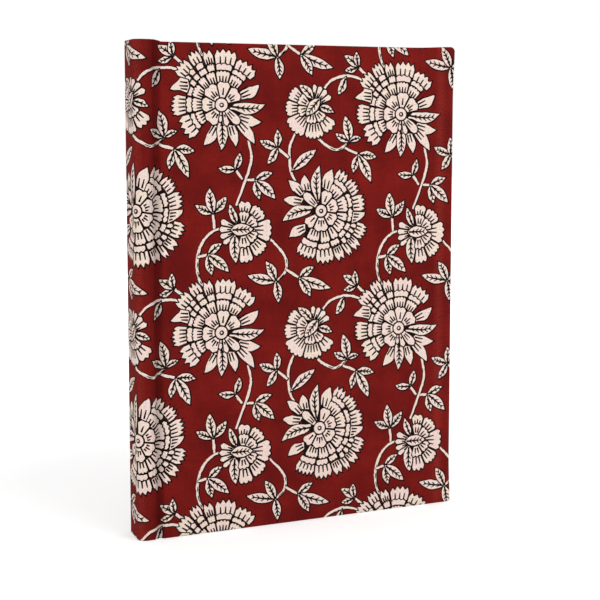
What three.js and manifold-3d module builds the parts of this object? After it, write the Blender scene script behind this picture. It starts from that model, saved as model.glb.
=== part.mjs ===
// Cloth-bound notebook, closed and standing on its tail edge. Millimetres, +Z up along the book's height.
// The spine faces -X, the fore-edge +X, the front cover -Y and the back cover +Y.
// The origin is the middle of the tail edge, on the surface that the book stands on.
//
// Depths run outward from the book's middle plane, and reaches run from the spine's outer face
// towards the fore-edge. The front half is modelled, and the back half is its mirror image.

import * as THREE from 'three';
import { mergeVertices } from 'three/addons/utils/BufferGeometryUtils.js';
import Module from 'manifold-3d';

const wasm = await Module();
wasm.setup();

// Case: two boards and a spine strip, wrapped in one cloth
const COVER_HEIGHT = 214;
const COVER_WIDTH = 152;
const BOARD_THICKNESS = 2.2;
const SPINE_BOARD_THICKNESS = 2;
const SPINE_RISE = 0.9;
const CLOTH = 0.4;
const TURN_IN = 15;
const MITRE_SLIT = 0.3;
const COVER_CORNER_RADIUS = 1.4;
const COVER_EDGE_ROUNDING = 0.7;
const SPINE_CORNER_RADIUS = 3.2;

// Joint between the spine and the boards, pressed into a groove
const BOARD_EDGE_REACH = 12;
const GROOVE_DEPTH = 1.5;
const GROOVE_HALF_WIDTH = 2.4;
const SHOULDER_DROP = 0.3;
const LINING_START_REACH = 3.7;

// Leaves
const SECTION_COUNT = 8;
const SECTION_THICKNESS = 1.1;
const FOLD_RADIUS = 0.3;
const FOLD_TAPER = 6;
const SQUARE = 3;
const PAPER = 0.22;
const PASTEDOWN_SLOPE = 0.8;
const FLYLEAF_TIP = 0.7;

// Sewing and the spine's linings
const TAPE_COUNT = 3;
const TAPE_WIDTH = 12;
const TAPE_THICKNESS = 0.35;
const THREAD_RADIUS = 0.2;
const THREAD_HOLE_RADIUS = 0.18;
const THREAD_PAST_TAPE = 0.6;
const KETTLE_INSET = 13;
const KETTLE_WAVE = 0.5;
const MULL = 0.25;
const SPINE_LINING = 0.2;
const LINING_INSET = 2;
const SPINE_LAYER_INSET = 0.2;
const BAND_RADIUS = 0.85;
const BAND_TAB = 10;
const BAND_TAB_THICKNESS = 0.2;

// Clearances
const GLUE = 0.02;
const LEAF_SLACK = 0.06;
const COVER_SLACK = 0.1;
const HOLLOW_BACK = 0.2;
const BAND_CLEARANCE = 0.1;
const LINING_CLEARANCE = 0.1;

// Depths from the middle plane, leaves first and the cloth's outer face last
const SECTION_PITCH = SECTION_THICKNESS + LEAF_SLACK;
const LEAVES_DEPTH = SECTION_COUNT / 2 * SECTION_PITCH;
const FLYLEAF_OUTER = LEAVES_DEPTH + PAPER;
const PASTEDOWN_INNER = FLYLEAF_OUTER + COVER_SLACK;
const TURN_IN_INNER = PASTEDOWN_INNER + PAPER + GLUE;
const BOARD_INNER = TURN_IN_INNER + CLOTH + GLUE;
const BOARD_OUTER = BOARD_INNER + BOARD_THICKNESS;
const CLOTH_OUTER = BOARD_OUTER + GLUE + CLOTH;

// Reaches from the spine's outer face
const SPINE_BOARD_INNER = CLOTH + GLUE + SPINE_BOARD_THICKNESS;
const SPINE_CLOTH_END = SPINE_BOARD_INNER + GLUE + CLOTH;
const LINING_OUTER = SPINE_CLOTH_END + HOLLOW_BACK;
const MULL_OUTER = LINING_OUTER + SPINE_LINING + GLUE;
const THREAD_OUTER = MULL_OUTER + MULL + GLUE;
const TAPE_OUTER = THREAD_OUTER + 2 * THREAD_RADIUS;
const FOLD_REACH = TAPE_OUTER + TAPE_THICKNESS + GLUE;
const GROOVE_REACH = BOARD_EDGE_REACH - GROOVE_HALF_WIDTH;
const LEAF_EDGE_REACH = COVER_WIDTH - SQUARE;

// Heights
const SPINE_TOP = COVER_HEIGHT + SPINE_RISE;
const LEAF_TOP = COVER_HEIGHT - SQUARE;

// Curve steps
const ARC_STEPS = 8;
const GROOVE_STEPS = 28;
const ROUND_SIDES = 8;
const PAST = 5;

const xAt = (reach) => reach - COVER_WIDTH / 2;

/** A manifold solid of a closed geometry. */
function solidOf(geometry) {
  const bare = geometry.clone();
  bare.deleteAttribute('normal');
  bare.deleteAttribute('uv');
  const merged = mergeVertices(bare, 1e-5);
  const vertProperties = new Float32Array(merged.attributes.position.array);
  const triVerts = new Uint32Array(merged.index.array);
  return new wasm.Manifold(new wasm.Mesh({ numProp: 3, vertProperties, triVerts }));
}

/** The geometry of a manifold solid. */
function geometryOf(solid) {
  const mesh = solid.getMesh();
  const geometry = new THREE.BufferGeometry();
  geometry.setAttribute('position', new THREE.BufferAttribute(mesh.vertProperties, 3));
  geometry.setIndex(new THREE.BufferAttribute(mesh.triVerts, 1));
  return geometry;
}

/** A geometry's mirror image in the book's middle plane. */
function mirrored(geometry) {
  const copy = mergeVertices(geometry.clone().deleteAttribute('normal').deleteAttribute('uv'), 1e-5);
  copy.scale(1, -1, 1);
  const index = copy.index.array;
  for (let i = 0; i < index.length; i += 3) {
    const swap = index[i];
    index[i] = index[i + 1];
    index[i + 1] = swap;
  }
  return copy;
}

/** A box between two reaches, two depths in front of the middle plane and two heights. */
function box(reach0, reach1, depth0, depth1, low, high) {
  const geometry = new THREE.BoxGeometry(reach1 - reach0, depth1 - depth0, high - low);
  geometry.translate(xAt((reach0 + reach1) / 2), -(depth0 + depth1) / 2, (low + high) / 2);
  return geometry;
}

/** An upright prism over an outline of [reach, depth] points in front of the middle plane. */
function prism(points, low, high) {
  const shape = new THREE.Shape(points.map(([reach, depth]) => new THREE.Vector2(xAt(reach), -depth)));
  const geometry = new THREE.ExtrudeGeometry(shape, { depth: high - low, bevelEnabled: false });
  geometry.translate(0, 0, low);
  return geometry;
}

/** Depth of the cloth's outer face at a reach between the spine's corner and the board's edge. */
function clothDepth(reach) {
  if (reach < SPINE_CORNER_RADIUS) {
    const across = SPINE_CORNER_RADIUS - reach;
    return CLOTH_OUTER - SPINE_CORNER_RADIUS + Math.sqrt(SPINE_CORNER_RADIUS ** 2 - across ** 2);
  }
  const fromGroove = (reach - GROOVE_REACH) / GROOVE_HALF_WIDTH;
  const dip = Math.abs(fromGroove) < 1 ? Math.cos(fromGroove * Math.PI / 2) ** 2 : 0;
  if (reach > GROOVE_REACH) {
    return CLOTH_OUTER - GROOVE_DEPTH * dip;
  }
  const along = (reach - SPINE_CORNER_RADIUS) / (GROOVE_REACH - SPINE_CORNER_RADIUS);
  const drop = SHOULDER_DROP * along ** 2;
  return CLOTH_OUTER - drop - (GROOVE_DEPTH - SHOULDER_DROP) * dip;
}

/** Slope of the cloth's outer face at a reach. */
function clothSlope(reach) {
  const step = 1e-3;
  return (clothDepth(reach + step) - clothDepth(reach - step)) / (2 * step);
}

/** The point at an inset below the cloth's outer face, along its normal. */
function underCloth(reach, inset) {
  const slope = clothSlope(reach);
  const length = Math.hypot(1, slope);
  return [reach + inset * slope / length, clothDepth(reach) - inset / length];
}

/** The joint's line at an inset, with both ends cut square to the book's face. */
function jointLine(inset) {
  const points = [];
  for (let i = 0; i <= GROOVE_STEPS; i += 1) {
    const reach = SPINE_CLOTH_END + (BOARD_EDGE_REACH - SPINE_CLOTH_END) * i / GROOVE_STEPS;
    const isEnd = i === 0 || i === GROOVE_STEPS;
    const square = [reach, clothDepth(reach) - inset * Math.hypot(1, clothSlope(reach))];
    points.push(isEnd ? square : underCloth(reach, inset));
  }
  return points;
}

/** Half of the outline round the spine's rounded corner, from the middle plane to a closing reach. */
function spineCorner(inset, closingReach) {
  const radius = SPINE_CORNER_RADIUS - inset;
  const centreDepth = CLOTH_OUTER - SPINE_CORNER_RADIUS;
  const across = Math.min(1, (SPINE_CORNER_RADIUS - closingReach) / radius);
  const lastAngle = Math.acos(across);
  const points = [];
  for (let i = 0; i <= ARC_STEPS; i += 1) {
    const angle = lastAngle * i / ARC_STEPS;
    points.push([SPINE_CORNER_RADIUS - radius * Math.cos(angle), centreDepth + radius * Math.sin(angle)]);
  }
  return points;
}

/** The closed outline of the spine strip at an inset, from corner to corner. */
function spineOutline(inset, closingReach) {
  const half = spineCorner(inset, closingReach);
  const otherHalf = half.map(([reach, depth]) => [reach, -depth]).reverse();
  return [...otherHalf, ...half];
}

/** A closed sheet over a grid of reaches and heights, whose inner face lies at depthOf(i, j). */
function gridSheet(reaches, heights, depthOf, thickness) {
  const positions = [];
  const index = [];
  const columns = heights.length;
  const layer = reaches.length * columns;
  for (const extra of [0, thickness]) {
    reaches.forEach((reach, i) => {
      heights.forEach((height, j) => {
        positions.push(xAt(reach), -(depthOf(i, j) + extra), height);
      });
    });
  }
  const quad = (a, b, c, d) => index.push(a, b, c, a, c, d);
  const at = (i, j, side) => side * layer + i * columns + j;
  for (let i = 0; i + 1 < reaches.length; i += 1) {
    for (let j = 0; j + 1 < columns; j += 1) {
      quad(at(i, j, 0), at(i, j + 1, 0), at(i + 1, j + 1, 0), at(i + 1, j, 0));
      quad(at(i, j, 1), at(i + 1, j, 1), at(i + 1, j + 1, 1), at(i, j + 1, 1));
    }
    quad(at(i, 0, 0), at(i + 1, 0, 0), at(i + 1, 0, 1), at(i, 0, 1));
    const top = columns - 1;
    quad(at(i, top, 0), at(i, top, 1), at(i + 1, top, 1), at(i + 1, top, 0));
  }
  for (let j = 0; j + 1 < columns; j += 1) {
    quad(at(0, j, 0), at(0, j, 1), at(0, j + 1, 1), at(0, j + 1, 0));
    const last = reaches.length - 1;
    quad(at(last, j, 0), at(last, j + 1, 0), at(last, j + 1, 1), at(last, j, 1));
  }
  const geometry = new THREE.BufferGeometry();
  geometry.setAttribute('position', new THREE.BufferAttribute(new Float32Array(positions), 3));
  geometry.setIndex(index);
  return geometry;
}

/** A round bar between two points, each [reach, y, height]. */
function bar(from, to, radius) {
  const start = new THREE.Vector3(xAt(from[0]), from[1], from[2]);
  const end = new THREE.Vector3(xAt(to[0]), to[1], to[2]);
  const along = end.clone().sub(start);
  const geometry = new THREE.CylinderGeometry(radius, radius, along.length(), ROUND_SIDES);
  const turn = new THREE.Quaternion().setFromUnitVectors(new THREE.Vector3(0, 1, 0), along.normalize());
  geometry.applyQuaternion(turn);
  geometry.translate(...start.add(end).multiplyScalar(0.5).toArray());
  return geometry;
}

/** Points along an arc, both ends included. */
function arcPoints(x, y, radius, startAngle, endAngle) {
  const points = [];
  for (let i = 0; i <= ARC_STEPS; i += 1) {
    const angle = startAngle + (endAngle - startAngle) * i / ARC_STEPS;
    points.push(new THREE.Vector2(x + radius * Math.cos(angle), y + radius * Math.sin(angle)));
  }
  return points;
}

/** The outline of a cover plate, at an inset from its edges: square at the joint, round at the fore-edge. */
function plateShape(inset, radius) {
  const left = xAt(BOARD_EDGE_REACH) - PAST;
  const centre = xAt(COVER_WIDTH) - inset - radius;
  return new THREE.Shape([
    new THREE.Vector2(left, inset),
    ...arcPoints(centre, inset + radius, radius, -Math.PI / 2, 0),
    ...arcPoints(centre, COVER_HEIGHT - inset - radius, radius, 0, Math.PI / 2),
    new THREE.Vector2(left, COVER_HEIGHT - inset),
  ]);
}

/** A cover plate between two depths, cut off at a reach on the joint's side. */
function plate(inset, depth0, depth1, cutReach, rounding = 0) {
  const shape = plateShape(inset + rounding, COVER_CORNER_RADIUS - inset - rounding);
  const geometry = new THREE.ExtrudeGeometry(shape, {
    depth: depth1 - depth0 - 2 * rounding,
    bevelEnabled: rounding > 0,
    bevelThickness: rounding,
    bevelSize: rounding,
    bevelSegments: 3,
  });
  geometry.rotateX(Math.PI / 2);
  geometry.translate(0, -(depth0 + rounding), 0);
  const cutOff = box(
    BOARD_EDGE_REACH - 2 * PAST, cutReach,
    depth0 - PAST, depth1 + PAST,
    -PAST, COVER_HEIGHT + PAST,
  );
  return solidOf(geometry).subtract(solidOf(cutOff));
}

/** The cover board. */
function boardGeometry() {
  return geometryOf(plate(CLOTH + GLUE, BOARD_INNER, BOARD_OUTER, BOARD_EDGE_REACH + GLUE));
}

/** The cover's cloth: outer face, wrapped edges and turn-ins that meet in mitres. */
function coverClothGeometry() {
  const boardSpace = plate(CLOTH, BOARD_INNER - GLUE, BOARD_OUTER + GLUE, BOARD_EDGE_REACH - PAST);
  const windowSpace = box(
    BOARD_EDGE_REACH - PAST, COVER_WIDTH - TURN_IN,
    0, BOARD_INNER,
    TURN_IN, COVER_HEIGHT - TURN_IN,
  );
  let cloth = plate(0, TURN_IN_INNER, CLOTH_OUTER, BOARD_EDGE_REACH, COVER_EDGE_ROUNDING);
  cloth = cloth.subtract(boardSpace).subtract(solidOf(windowSpace));
  for (const atHead of [false, true]) {
    cloth = cloth.subtract(solidOf(mitreGeometry(atHead)));
  }
  return geometryOf(cloth);
}

/** The thin slit where two turn-ins meet at a corner of the cover. */
function mitreGeometry(atHead) {
  const past = TURN_IN + MITRE_SLIT;
  const middle = (COVER_CORNER_RADIUS + past) / 2;
  const length = (past - COVER_CORNER_RADIUS) * Math.SQRT2;
  const depth = BOARD_INNER - GLUE;
  const slit = new THREE.BoxGeometry(length, depth, MITRE_SLIT);
  slit.rotateY(atHead ? -Math.PI / 4 : Math.PI / 4);
  slit.translate(xAt(COVER_WIDTH - middle), -depth / 2, atHead ? COVER_HEIGHT - middle : middle);
  return slit;
}

/** The strip of cloth over the shoulder and the groove, doubled at head and tail by its turn-ins. */
function jointClothGeometry() {
  const outer = jointLine(0);
  const single = prism([...outer, ...jointLine(CLOTH).reverse()], 0, SPINE_TOP);
  const doubled = [...outer, ...jointLine(2 * CLOTH).reverse()];
  const tail = prism(doubled, 0, TURN_IN);
  const head = prism(doubled, SPINE_TOP - TURN_IN, SPINE_TOP);
  const strip = solidOf(single).add(solidOf(tail)).add(solidOf(head));

  const slope = new THREE.Shape([
    new THREE.Vector2(xAt(GROOVE_REACH), SPINE_TOP),
    new THREE.Vector2(xAt(BOARD_EDGE_REACH), COVER_HEIGHT),
    new THREE.Vector2(xAt(BOARD_EDGE_REACH) + PAST, COVER_HEIGHT),
    new THREE.Vector2(xAt(BOARD_EDGE_REACH) + PAST, SPINE_TOP + PAST),
    new THREE.Vector2(xAt(GROOVE_REACH), SPINE_TOP + PAST),
  ]);
  const wedge = new THREE.ExtrudeGeometry(slope, { depth: CLOTH_OUTER + PAST, bevelEnabled: false });
  wedge.rotateX(Math.PI / 2);
  return geometryOf(strip.subtract(solidOf(wedge)));
}

/** The lining under the joint's cloth: mull and endpaper, from the leaves' spine edge to the board. */
function hingeLiningGeometry() {
  const inset = 2 * CLOTH + LINING_CLEARANCE + MULL / 2;
  const first = LINING_START_REACH + CLOTH;
  const underShoulder = [];
  for (let i = 0; i <= ARC_STEPS; i += 1) {
    underShoulder.push(underCloth(first + (GROOVE_REACH - first) * i / ARC_STEPS, inset));
  }
  const shoulderDepth = underShoulder[0][1];
  const route = new THREE.SplineCurve([
    [FOLD_REACH + GLUE, FLYLEAF_OUTER + MULL],
    [LINING_START_REACH, (FLYLEAF_OUTER + shoulderDepth) / 2],
    ...underShoulder,
    [BOARD_EDGE_REACH - MULL, (PASTEDOWN_INNER + BOARD_INNER) / 2],
  ].map(([reach, depth]) => new THREE.Vector2(reach, depth)));
  const steps = 2 * GROOVE_STEPS;
  const outer = [];
  const inner = [];
  for (let i = 0; i <= steps; i += 1) {
    const point = route.getPoint(i / steps);
    const tangent = route.getTangent(i / steps);
    outer.push([point.x - tangent.y * MULL / 2, point.y + tangent.x * MULL / 2]);
    inner.push([point.x + tangent.y * MULL / 2, point.y - tangent.x * MULL / 2]);
  }
  return prism([...outer, ...inner.reverse()], SQUARE, LEAF_TOP);
}

/** The pastedown, which steps down from the turn-ins to the bare board. */
function pastedownGeometry() {
  const windowEdge = COVER_WIDTH - TURN_IN;
  const reaches = [BOARD_EDGE_REACH, windowEdge - PASTEDOWN_SLOPE, windowEdge, LEAF_EDGE_REACH];
  const heights = [
    SQUARE, TURN_IN, TURN_IN + PASTEDOWN_SLOPE,
    COVER_HEIGHT - TURN_IN - PASTEDOWN_SLOPE, COVER_HEIGHT - TURN_IN, LEAF_TOP,
  ];
  const stepDown = CLOTH + GLUE;
  const isBare = (i, j) => i <= 1 && j >= 2 && j <= 3;
  return gridSheet(reaches, heights, (i, j) => PASTEDOWN_INNER + (isBare(i, j) ? stepDown : 0), PAPER);
}

/** The flyleaf, tipped on to the outer section just in front of its fold. */
function flyleafGeometry() {
  const start = FOLD_REACH + FOLD_RADIUS + FLYLEAF_TIP;
  return box(start, LEAF_EDGE_REACH, LEAVES_DEPTH, FLYLEAF_OUTER, SQUARE, LEAF_TOP);
}

/** One sewn section about its fold: round at the fold, then widening to its full thickness. */
function sectionGeometry() {
  const half = SECTION_THICKNESS / 2;
  const length = LEAF_EDGE_REACH - FOLD_REACH - FOLD_RADIUS;
  const shape = new THREE.Shape();
  shape.moveTo(0, FOLD_RADIUS);
  shape.absarc(0, 0, FOLD_RADIUS, Math.PI / 2, Math.PI * 3 / 2, false);
  shape.lineTo(FOLD_TAPER, -half);
  shape.lineTo(length, -half);
  shape.lineTo(length, half);
  shape.lineTo(FOLD_TAPER, half);
  const geometry = new THREE.ExtrudeGeometry(shape, {
    depth: LEAF_TOP - SQUARE,
    bevelEnabled: false,
    curveSegments: 2 * ARC_STEPS,
  });
  return geometry;
}

/** The stiff strip behind the spine's cloth. */
function spineBoardGeometry() {
  const outline = spineOutline(CLOTH + GLUE, SPINE_BOARD_INNER);
  return prism(outline, CLOTH + GLUE, SPINE_TOP - CLOTH - GLUE);
}

/** The spine's cloth, wrapped over its board at head and tail. */
function spineClothGeometry() {
  const whole = prism(spineOutline(0, SPINE_CLOTH_END), 0, SPINE_TOP);
  const boardSpace = prism(spineOutline(CLOTH, SPINE_BOARD_INNER + GLUE), CLOTH, SPINE_TOP - CLOTH);
  const opening = box(
    SPINE_BOARD_INNER, SPINE_CLOTH_END + PAST,
    -(CLOTH_OUTER - 2 * CLOTH), CLOTH_OUTER - 2 * CLOTH,
    TURN_IN, SPINE_TOP - TURN_IN,
  );
  return geometryOf(solidOf(whole).subtract(solidOf(boardSpace)).subtract(solidOf(opening)));
}

/** A layer glued across the backs of the sections. */
function spineLayer(reach, thickness, low, high) {
  const half = LEAVES_DEPTH - SPINE_LAYER_INSET;
  return box(reach, reach + thickness, -half, half, low, high);
}

/** Y of a section's middle, counted from the front. */
function sectionY(section) {
  return (section - (SECTION_COUNT - 1) / 2) * SECTION_PITCH;
}

/** Height of a sewing tape's middle, counted from the tail. */
function tapeHeight(tape) {
  return SQUARE + (LEAF_TOP - SQUARE) * (tape + 1) / (TAPE_COUNT + 1);
}

/** Bars joined into one solid. */
function joined(bars) {
  return geometryOf(bars.map(solidOf).reduce((sum, next) => sum.add(next)));
}

/** The thread over one tape: a stitch on every section, each caught to the next at alternate ends. */
function tapeStitchesGeometry(tape) {
  const line = THREAD_OUTER + THREAD_RADIUS;
  const fold = FOLD_REACH - GLUE;
  const low = tapeHeight(tape) - TAPE_WIDTH / 2 - THREAD_PAST_TAPE;
  const high = tapeHeight(tape) + TAPE_WIDTH / 2 + THREAD_PAST_TAPE;
  const bars = [];
  for (let section = 0; section < SECTION_COUNT; section += 1) {
    const y = sectionY(section);
    bars.push(bar([line, y, low - THREAD_RADIUS], [line, y, high + THREAD_RADIUS], THREAD_RADIUS));
    bars.push(bar([line, y, low], [fold, y, low], THREAD_HOLE_RADIUS));
    bars.push(bar([line, y, high], [fold, y, high], THREAD_HOLE_RADIUS));
    if (section + 1 < SECTION_COUNT) {
      const height = section % 2 ? low : high;
      bars.push(bar([line, y, height], [line, sectionY(section + 1), height], THREAD_HOLE_RADIUS));
    }
  }
  return joined(bars);
}

/** A chain of kettle stitches from section to section, about a height. */
function kettleStitchesGeometry(height) {
  const line = THREAD_OUTER + THREAD_RADIUS;
  const fold = FOLD_REACH - GLUE;
  const bars = [];
  for (let section = 0; section < SECTION_COUNT; section += 1) {
    const y = sectionY(section);
    const wave = section % 2 ? KETTLE_WAVE : -KETTLE_WAVE;
    bars.push(bar([line, y, height + wave], [fold, y, height + wave], THREAD_HOLE_RADIUS));
    if (section + 1 < SECTION_COUNT) {
      bars.push(bar([line, y, height + wave], [line, sectionY(section + 1), height - wave], THREAD_RADIUS));
    }
  }
  return joined(bars);
}

/** A head or tail band: a cord bead on the leaves' edge, on a tab glued to the spine. */
function bandGeometry(atHead) {
  const edge = atHead ? LEAF_TOP : SQUARE;
  const outward = atHead ? 1 : -1;
  const beadReach = TAPE_OUTER + BAND_RADIUS;
  const beadHeight = edge + outward * (BAND_RADIUS + BAND_CLEARANCE);
  const half = LEAVES_DEPTH - SPINE_LAYER_INSET;
  const bead = bar([beadReach, -half, beadHeight], [beadReach, half, beadHeight], BAND_RADIUS);
  const tabEnd = edge - outward * BAND_TAB;
  const low = Math.min(tabEnd, beadHeight);
  const high = Math.max(tabEnd, beadHeight);
  const tab = spineLayer(TAPE_OUTER + GLUE, BAND_TAB_THICKNESS, low, high);
  return geometryOf(solidOf(bead).add(solidOf(tab)));
}

const material = (color, roughness) => new THREE.MeshStandardMaterial({ color, roughness, metalness: 0 });
const redCloth = material('#801c1a', 0.9);
const greyBoard = material('#8b8478', 0.95);
const creamPaper = material('#efe6d2', 0.85);
const endPaper = material('#f3ecdd', 0.8);
const kraftPaper = material('#b08d62', 0.9);
const gauze = material('#e6dfcf', 0.95);
const cottonTape = material('#ddd2b8', 0.9);
const linenThread = material('#e9dfc6', 0.8);
const bandCotton = material('#e8dcc4', 0.85);

/** A named mesh of a geometry. */
function piece(name, geometry, finish) {
  const flat = geometry.index ? geometry.toNonIndexed() : geometry;
  flat.computeVertexNormals();
  const mesh = new THREE.Mesh(flat, finish);
  mesh.name = name;
  return mesh;
}

const notebook = new THREE.Group();

// The binding: spine strip, linings and sewing
const binding = new THREE.Group();
binding.add(piece('spine_board', spineBoardGeometry(), greyBoard));
binding.add(piece('spine_cloth', spineClothGeometry(), redCloth));
const liningLow = SQUARE + LINING_INSET;
const liningHigh = LEAF_TOP - LINING_INSET;
binding.add(piece('spine_lining', spineLayer(LINING_OUTER, SPINE_LINING, liningLow, liningHigh), kraftPaper));
binding.add(piece('mull', spineLayer(MULL_OUTER, MULL, liningLow, liningHigh), gauze));
for (let tape = 0; tape < TAPE_COUNT; tape += 1) {
  const low = tapeHeight(tape) - TAPE_WIDTH / 2;
  const geometry = spineLayer(TAPE_OUTER, TAPE_THICKNESS, low, low + TAPE_WIDTH);
  binding.add(piece(`sewing_tape_${tape + 1}`, geometry, cottonTape));
  binding.add(piece(`tape_stitches_${tape + 1}`, tapeStitchesGeometry(tape), linenThread));
}
binding.add(piece('kettle_stitches_tail', kettleStitchesGeometry(SQUARE + KETTLE_INSET), linenThread));
binding.add(piece('kettle_stitches_head', kettleStitchesGeometry(LEAF_TOP - KETTLE_INSET), linenThread));
binding.add(piece('head_band', bandGeometry(true), bandCotton));
binding.add(piece('tail_band', bandGeometry(false), bandCotton));
notebook.add(binding);

// The sections, each placed at its fold
const leaves = new THREE.Group();
leaves.position.set(xAt(FOLD_REACH + FOLD_RADIUS), 0, SQUARE);
for (let section = 0; section < SECTION_COUNT; section += 1) {
  const block = piece(`section_${section + 1}`, sectionGeometry(), creamPaper);
  block.position.y = sectionY(section);
  leaves.add(block);
}
notebook.add(leaves);

// What both sides have: cover, joint and endpapers
const halves = [
  { side: 'front', turned: (geometry) => geometry },
  { side: 'back', turned: mirrored },
];
for (const { side, turned } of halves) {
  const half = new THREE.Group();
  half.add(piece(`${side}_board`, turned(boardGeometry()), greyBoard));
  half.add(piece(`${side}_cover_cloth`, turned(coverClothGeometry()), redCloth));
  half.add(piece(`${side}_joint_cloth`, turned(jointClothGeometry()), redCloth));
  half.add(piece(`${side}_hinge_lining`, turned(hingeLiningGeometry()), gauze));
  half.add(piece(`${side}_pastedown`, turned(pastedownGeometry()), endPaper));
  half.add(piece(`${side}_flyleaf`, turned(flyleafGeometry()), endPaper));
  notebook.add(half);
}

export default notebook;
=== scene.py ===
"""Looks of a cloth-bound notebook: block-printed cotton case, endpapers, sewn leaves and bands.

Sizes are in millimetres, and meshes are put into the frame in metres. Reaches run from the spine's outer
face towards the fore-edge, and depths run outward from the book's middle plane, as in the part's source.
"""

import logging
import math
import random
from dataclasses import dataclass, field
from enum import Enum

import bpy
import numpy as np
from mathutils import Matrix, Vector
from mathutils.geometry import delaunay_2d_cdt


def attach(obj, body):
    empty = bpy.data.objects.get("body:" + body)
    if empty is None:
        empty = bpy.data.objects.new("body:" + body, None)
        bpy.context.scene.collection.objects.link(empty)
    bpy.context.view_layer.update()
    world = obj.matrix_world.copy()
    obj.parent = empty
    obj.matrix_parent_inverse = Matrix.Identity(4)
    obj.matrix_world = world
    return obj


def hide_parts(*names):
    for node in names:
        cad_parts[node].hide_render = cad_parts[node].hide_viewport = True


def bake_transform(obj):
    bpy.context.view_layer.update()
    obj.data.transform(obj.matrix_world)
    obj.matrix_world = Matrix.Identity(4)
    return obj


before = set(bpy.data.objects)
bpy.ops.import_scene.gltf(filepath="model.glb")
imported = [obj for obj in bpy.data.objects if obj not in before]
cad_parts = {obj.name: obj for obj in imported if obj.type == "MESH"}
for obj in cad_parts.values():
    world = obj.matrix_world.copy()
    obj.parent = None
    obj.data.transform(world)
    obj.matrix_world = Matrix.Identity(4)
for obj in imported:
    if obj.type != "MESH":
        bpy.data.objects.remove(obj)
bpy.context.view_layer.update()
log = logging.getLogger("notebook")

MM = 0.001
# The cloth's UV map covers a square of this edge in millimetres, and the flat half sheet starts inside it.
UV_SPAN = 256.0
UV_MARGIN = (2.0, 20.0)
CLOTH_UV = "cloth"
PRINT_ATTRIBUTE = "print"
LEAF_ATTRIBUTE = "leaf_tone"
Point = tuple[float, float]


class Side(Enum):
    """A half of the book, with the sign of its y."""

    FRONT = -1
    BACK = 1

    @property
    def label(self) -> str:
        """The side's name in node names."""
        return self.name.lower()


class Ink(Enum):
    """What a patch of the cloth shows, with the value of its cream and black masks."""

    GROUND = (0.0, 0.0)
    CREAM = (1.0, 0.0)
    BLACK = (0.0, 1.0)


# Shader and geometry trees


class Value:
    """A socket whose arithmetic adds Math nodes to its tree."""

    def __init__(self, tree: "Tree", socket: bpy.types.NodeSocket) -> None:
        """Wraps an output socket of a tree."""
        self.tree = tree
        self.socket = socket

    def math(self, operation: str, *others: "Value | float") -> "Value":
        """Applies a Math node.

        Args:
            operation: The Math node's operation.
            others: The further operands.

        Returns:
            The node's result.
        """
        inputs = dict(enumerate([self, *others]))
        return self.tree.add("ShaderNodeMath", {"operation": operation}, inputs)

    def __add__(self, other: "Value | float") -> "Value":
        """The sum."""
        return self.math("ADD", other)

    __radd__ = __add__

    def __sub__(self, other: "Value | float") -> "Value":
        """The difference."""
        return self.math("SUBTRACT", other)

    def __rsub__(self, other: float) -> "Value":
        """The difference from a number."""
        return (self * -1.0) + other

    def __mul__(self, other: "Value | float") -> "Value":
        """The product."""
        return self.math("MULTIPLY", other)

    __rmul__ = __mul__

    def __truediv__(self, other: "Value | float") -> "Value":
        """The quotient."""
        return self.math("DIVIDE", other)

    def sin(self) -> "Value":
        """The sine."""
        return self.math("SINE")

    def abs(self) -> "Value":
        """The absolute value."""
        return self.math("ABSOLUTE")

    def above(self, limit: float) -> "Value":
        """1 where the value is above a limit, else 0."""
        return self.math("GREATER_THAN", limit)

    def clamp(self) -> "Value":
        """The value kept between 0 and 1."""
        return self.math("MAXIMUM", 0.0).math("MINIMUM", 1.0)

    def past(self, limit: float, gain: float) -> "Value":
        """How far the value lies past a limit, times a gain, kept between 0 and 1."""
        return ((self - limit) * gain).clamp()


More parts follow.
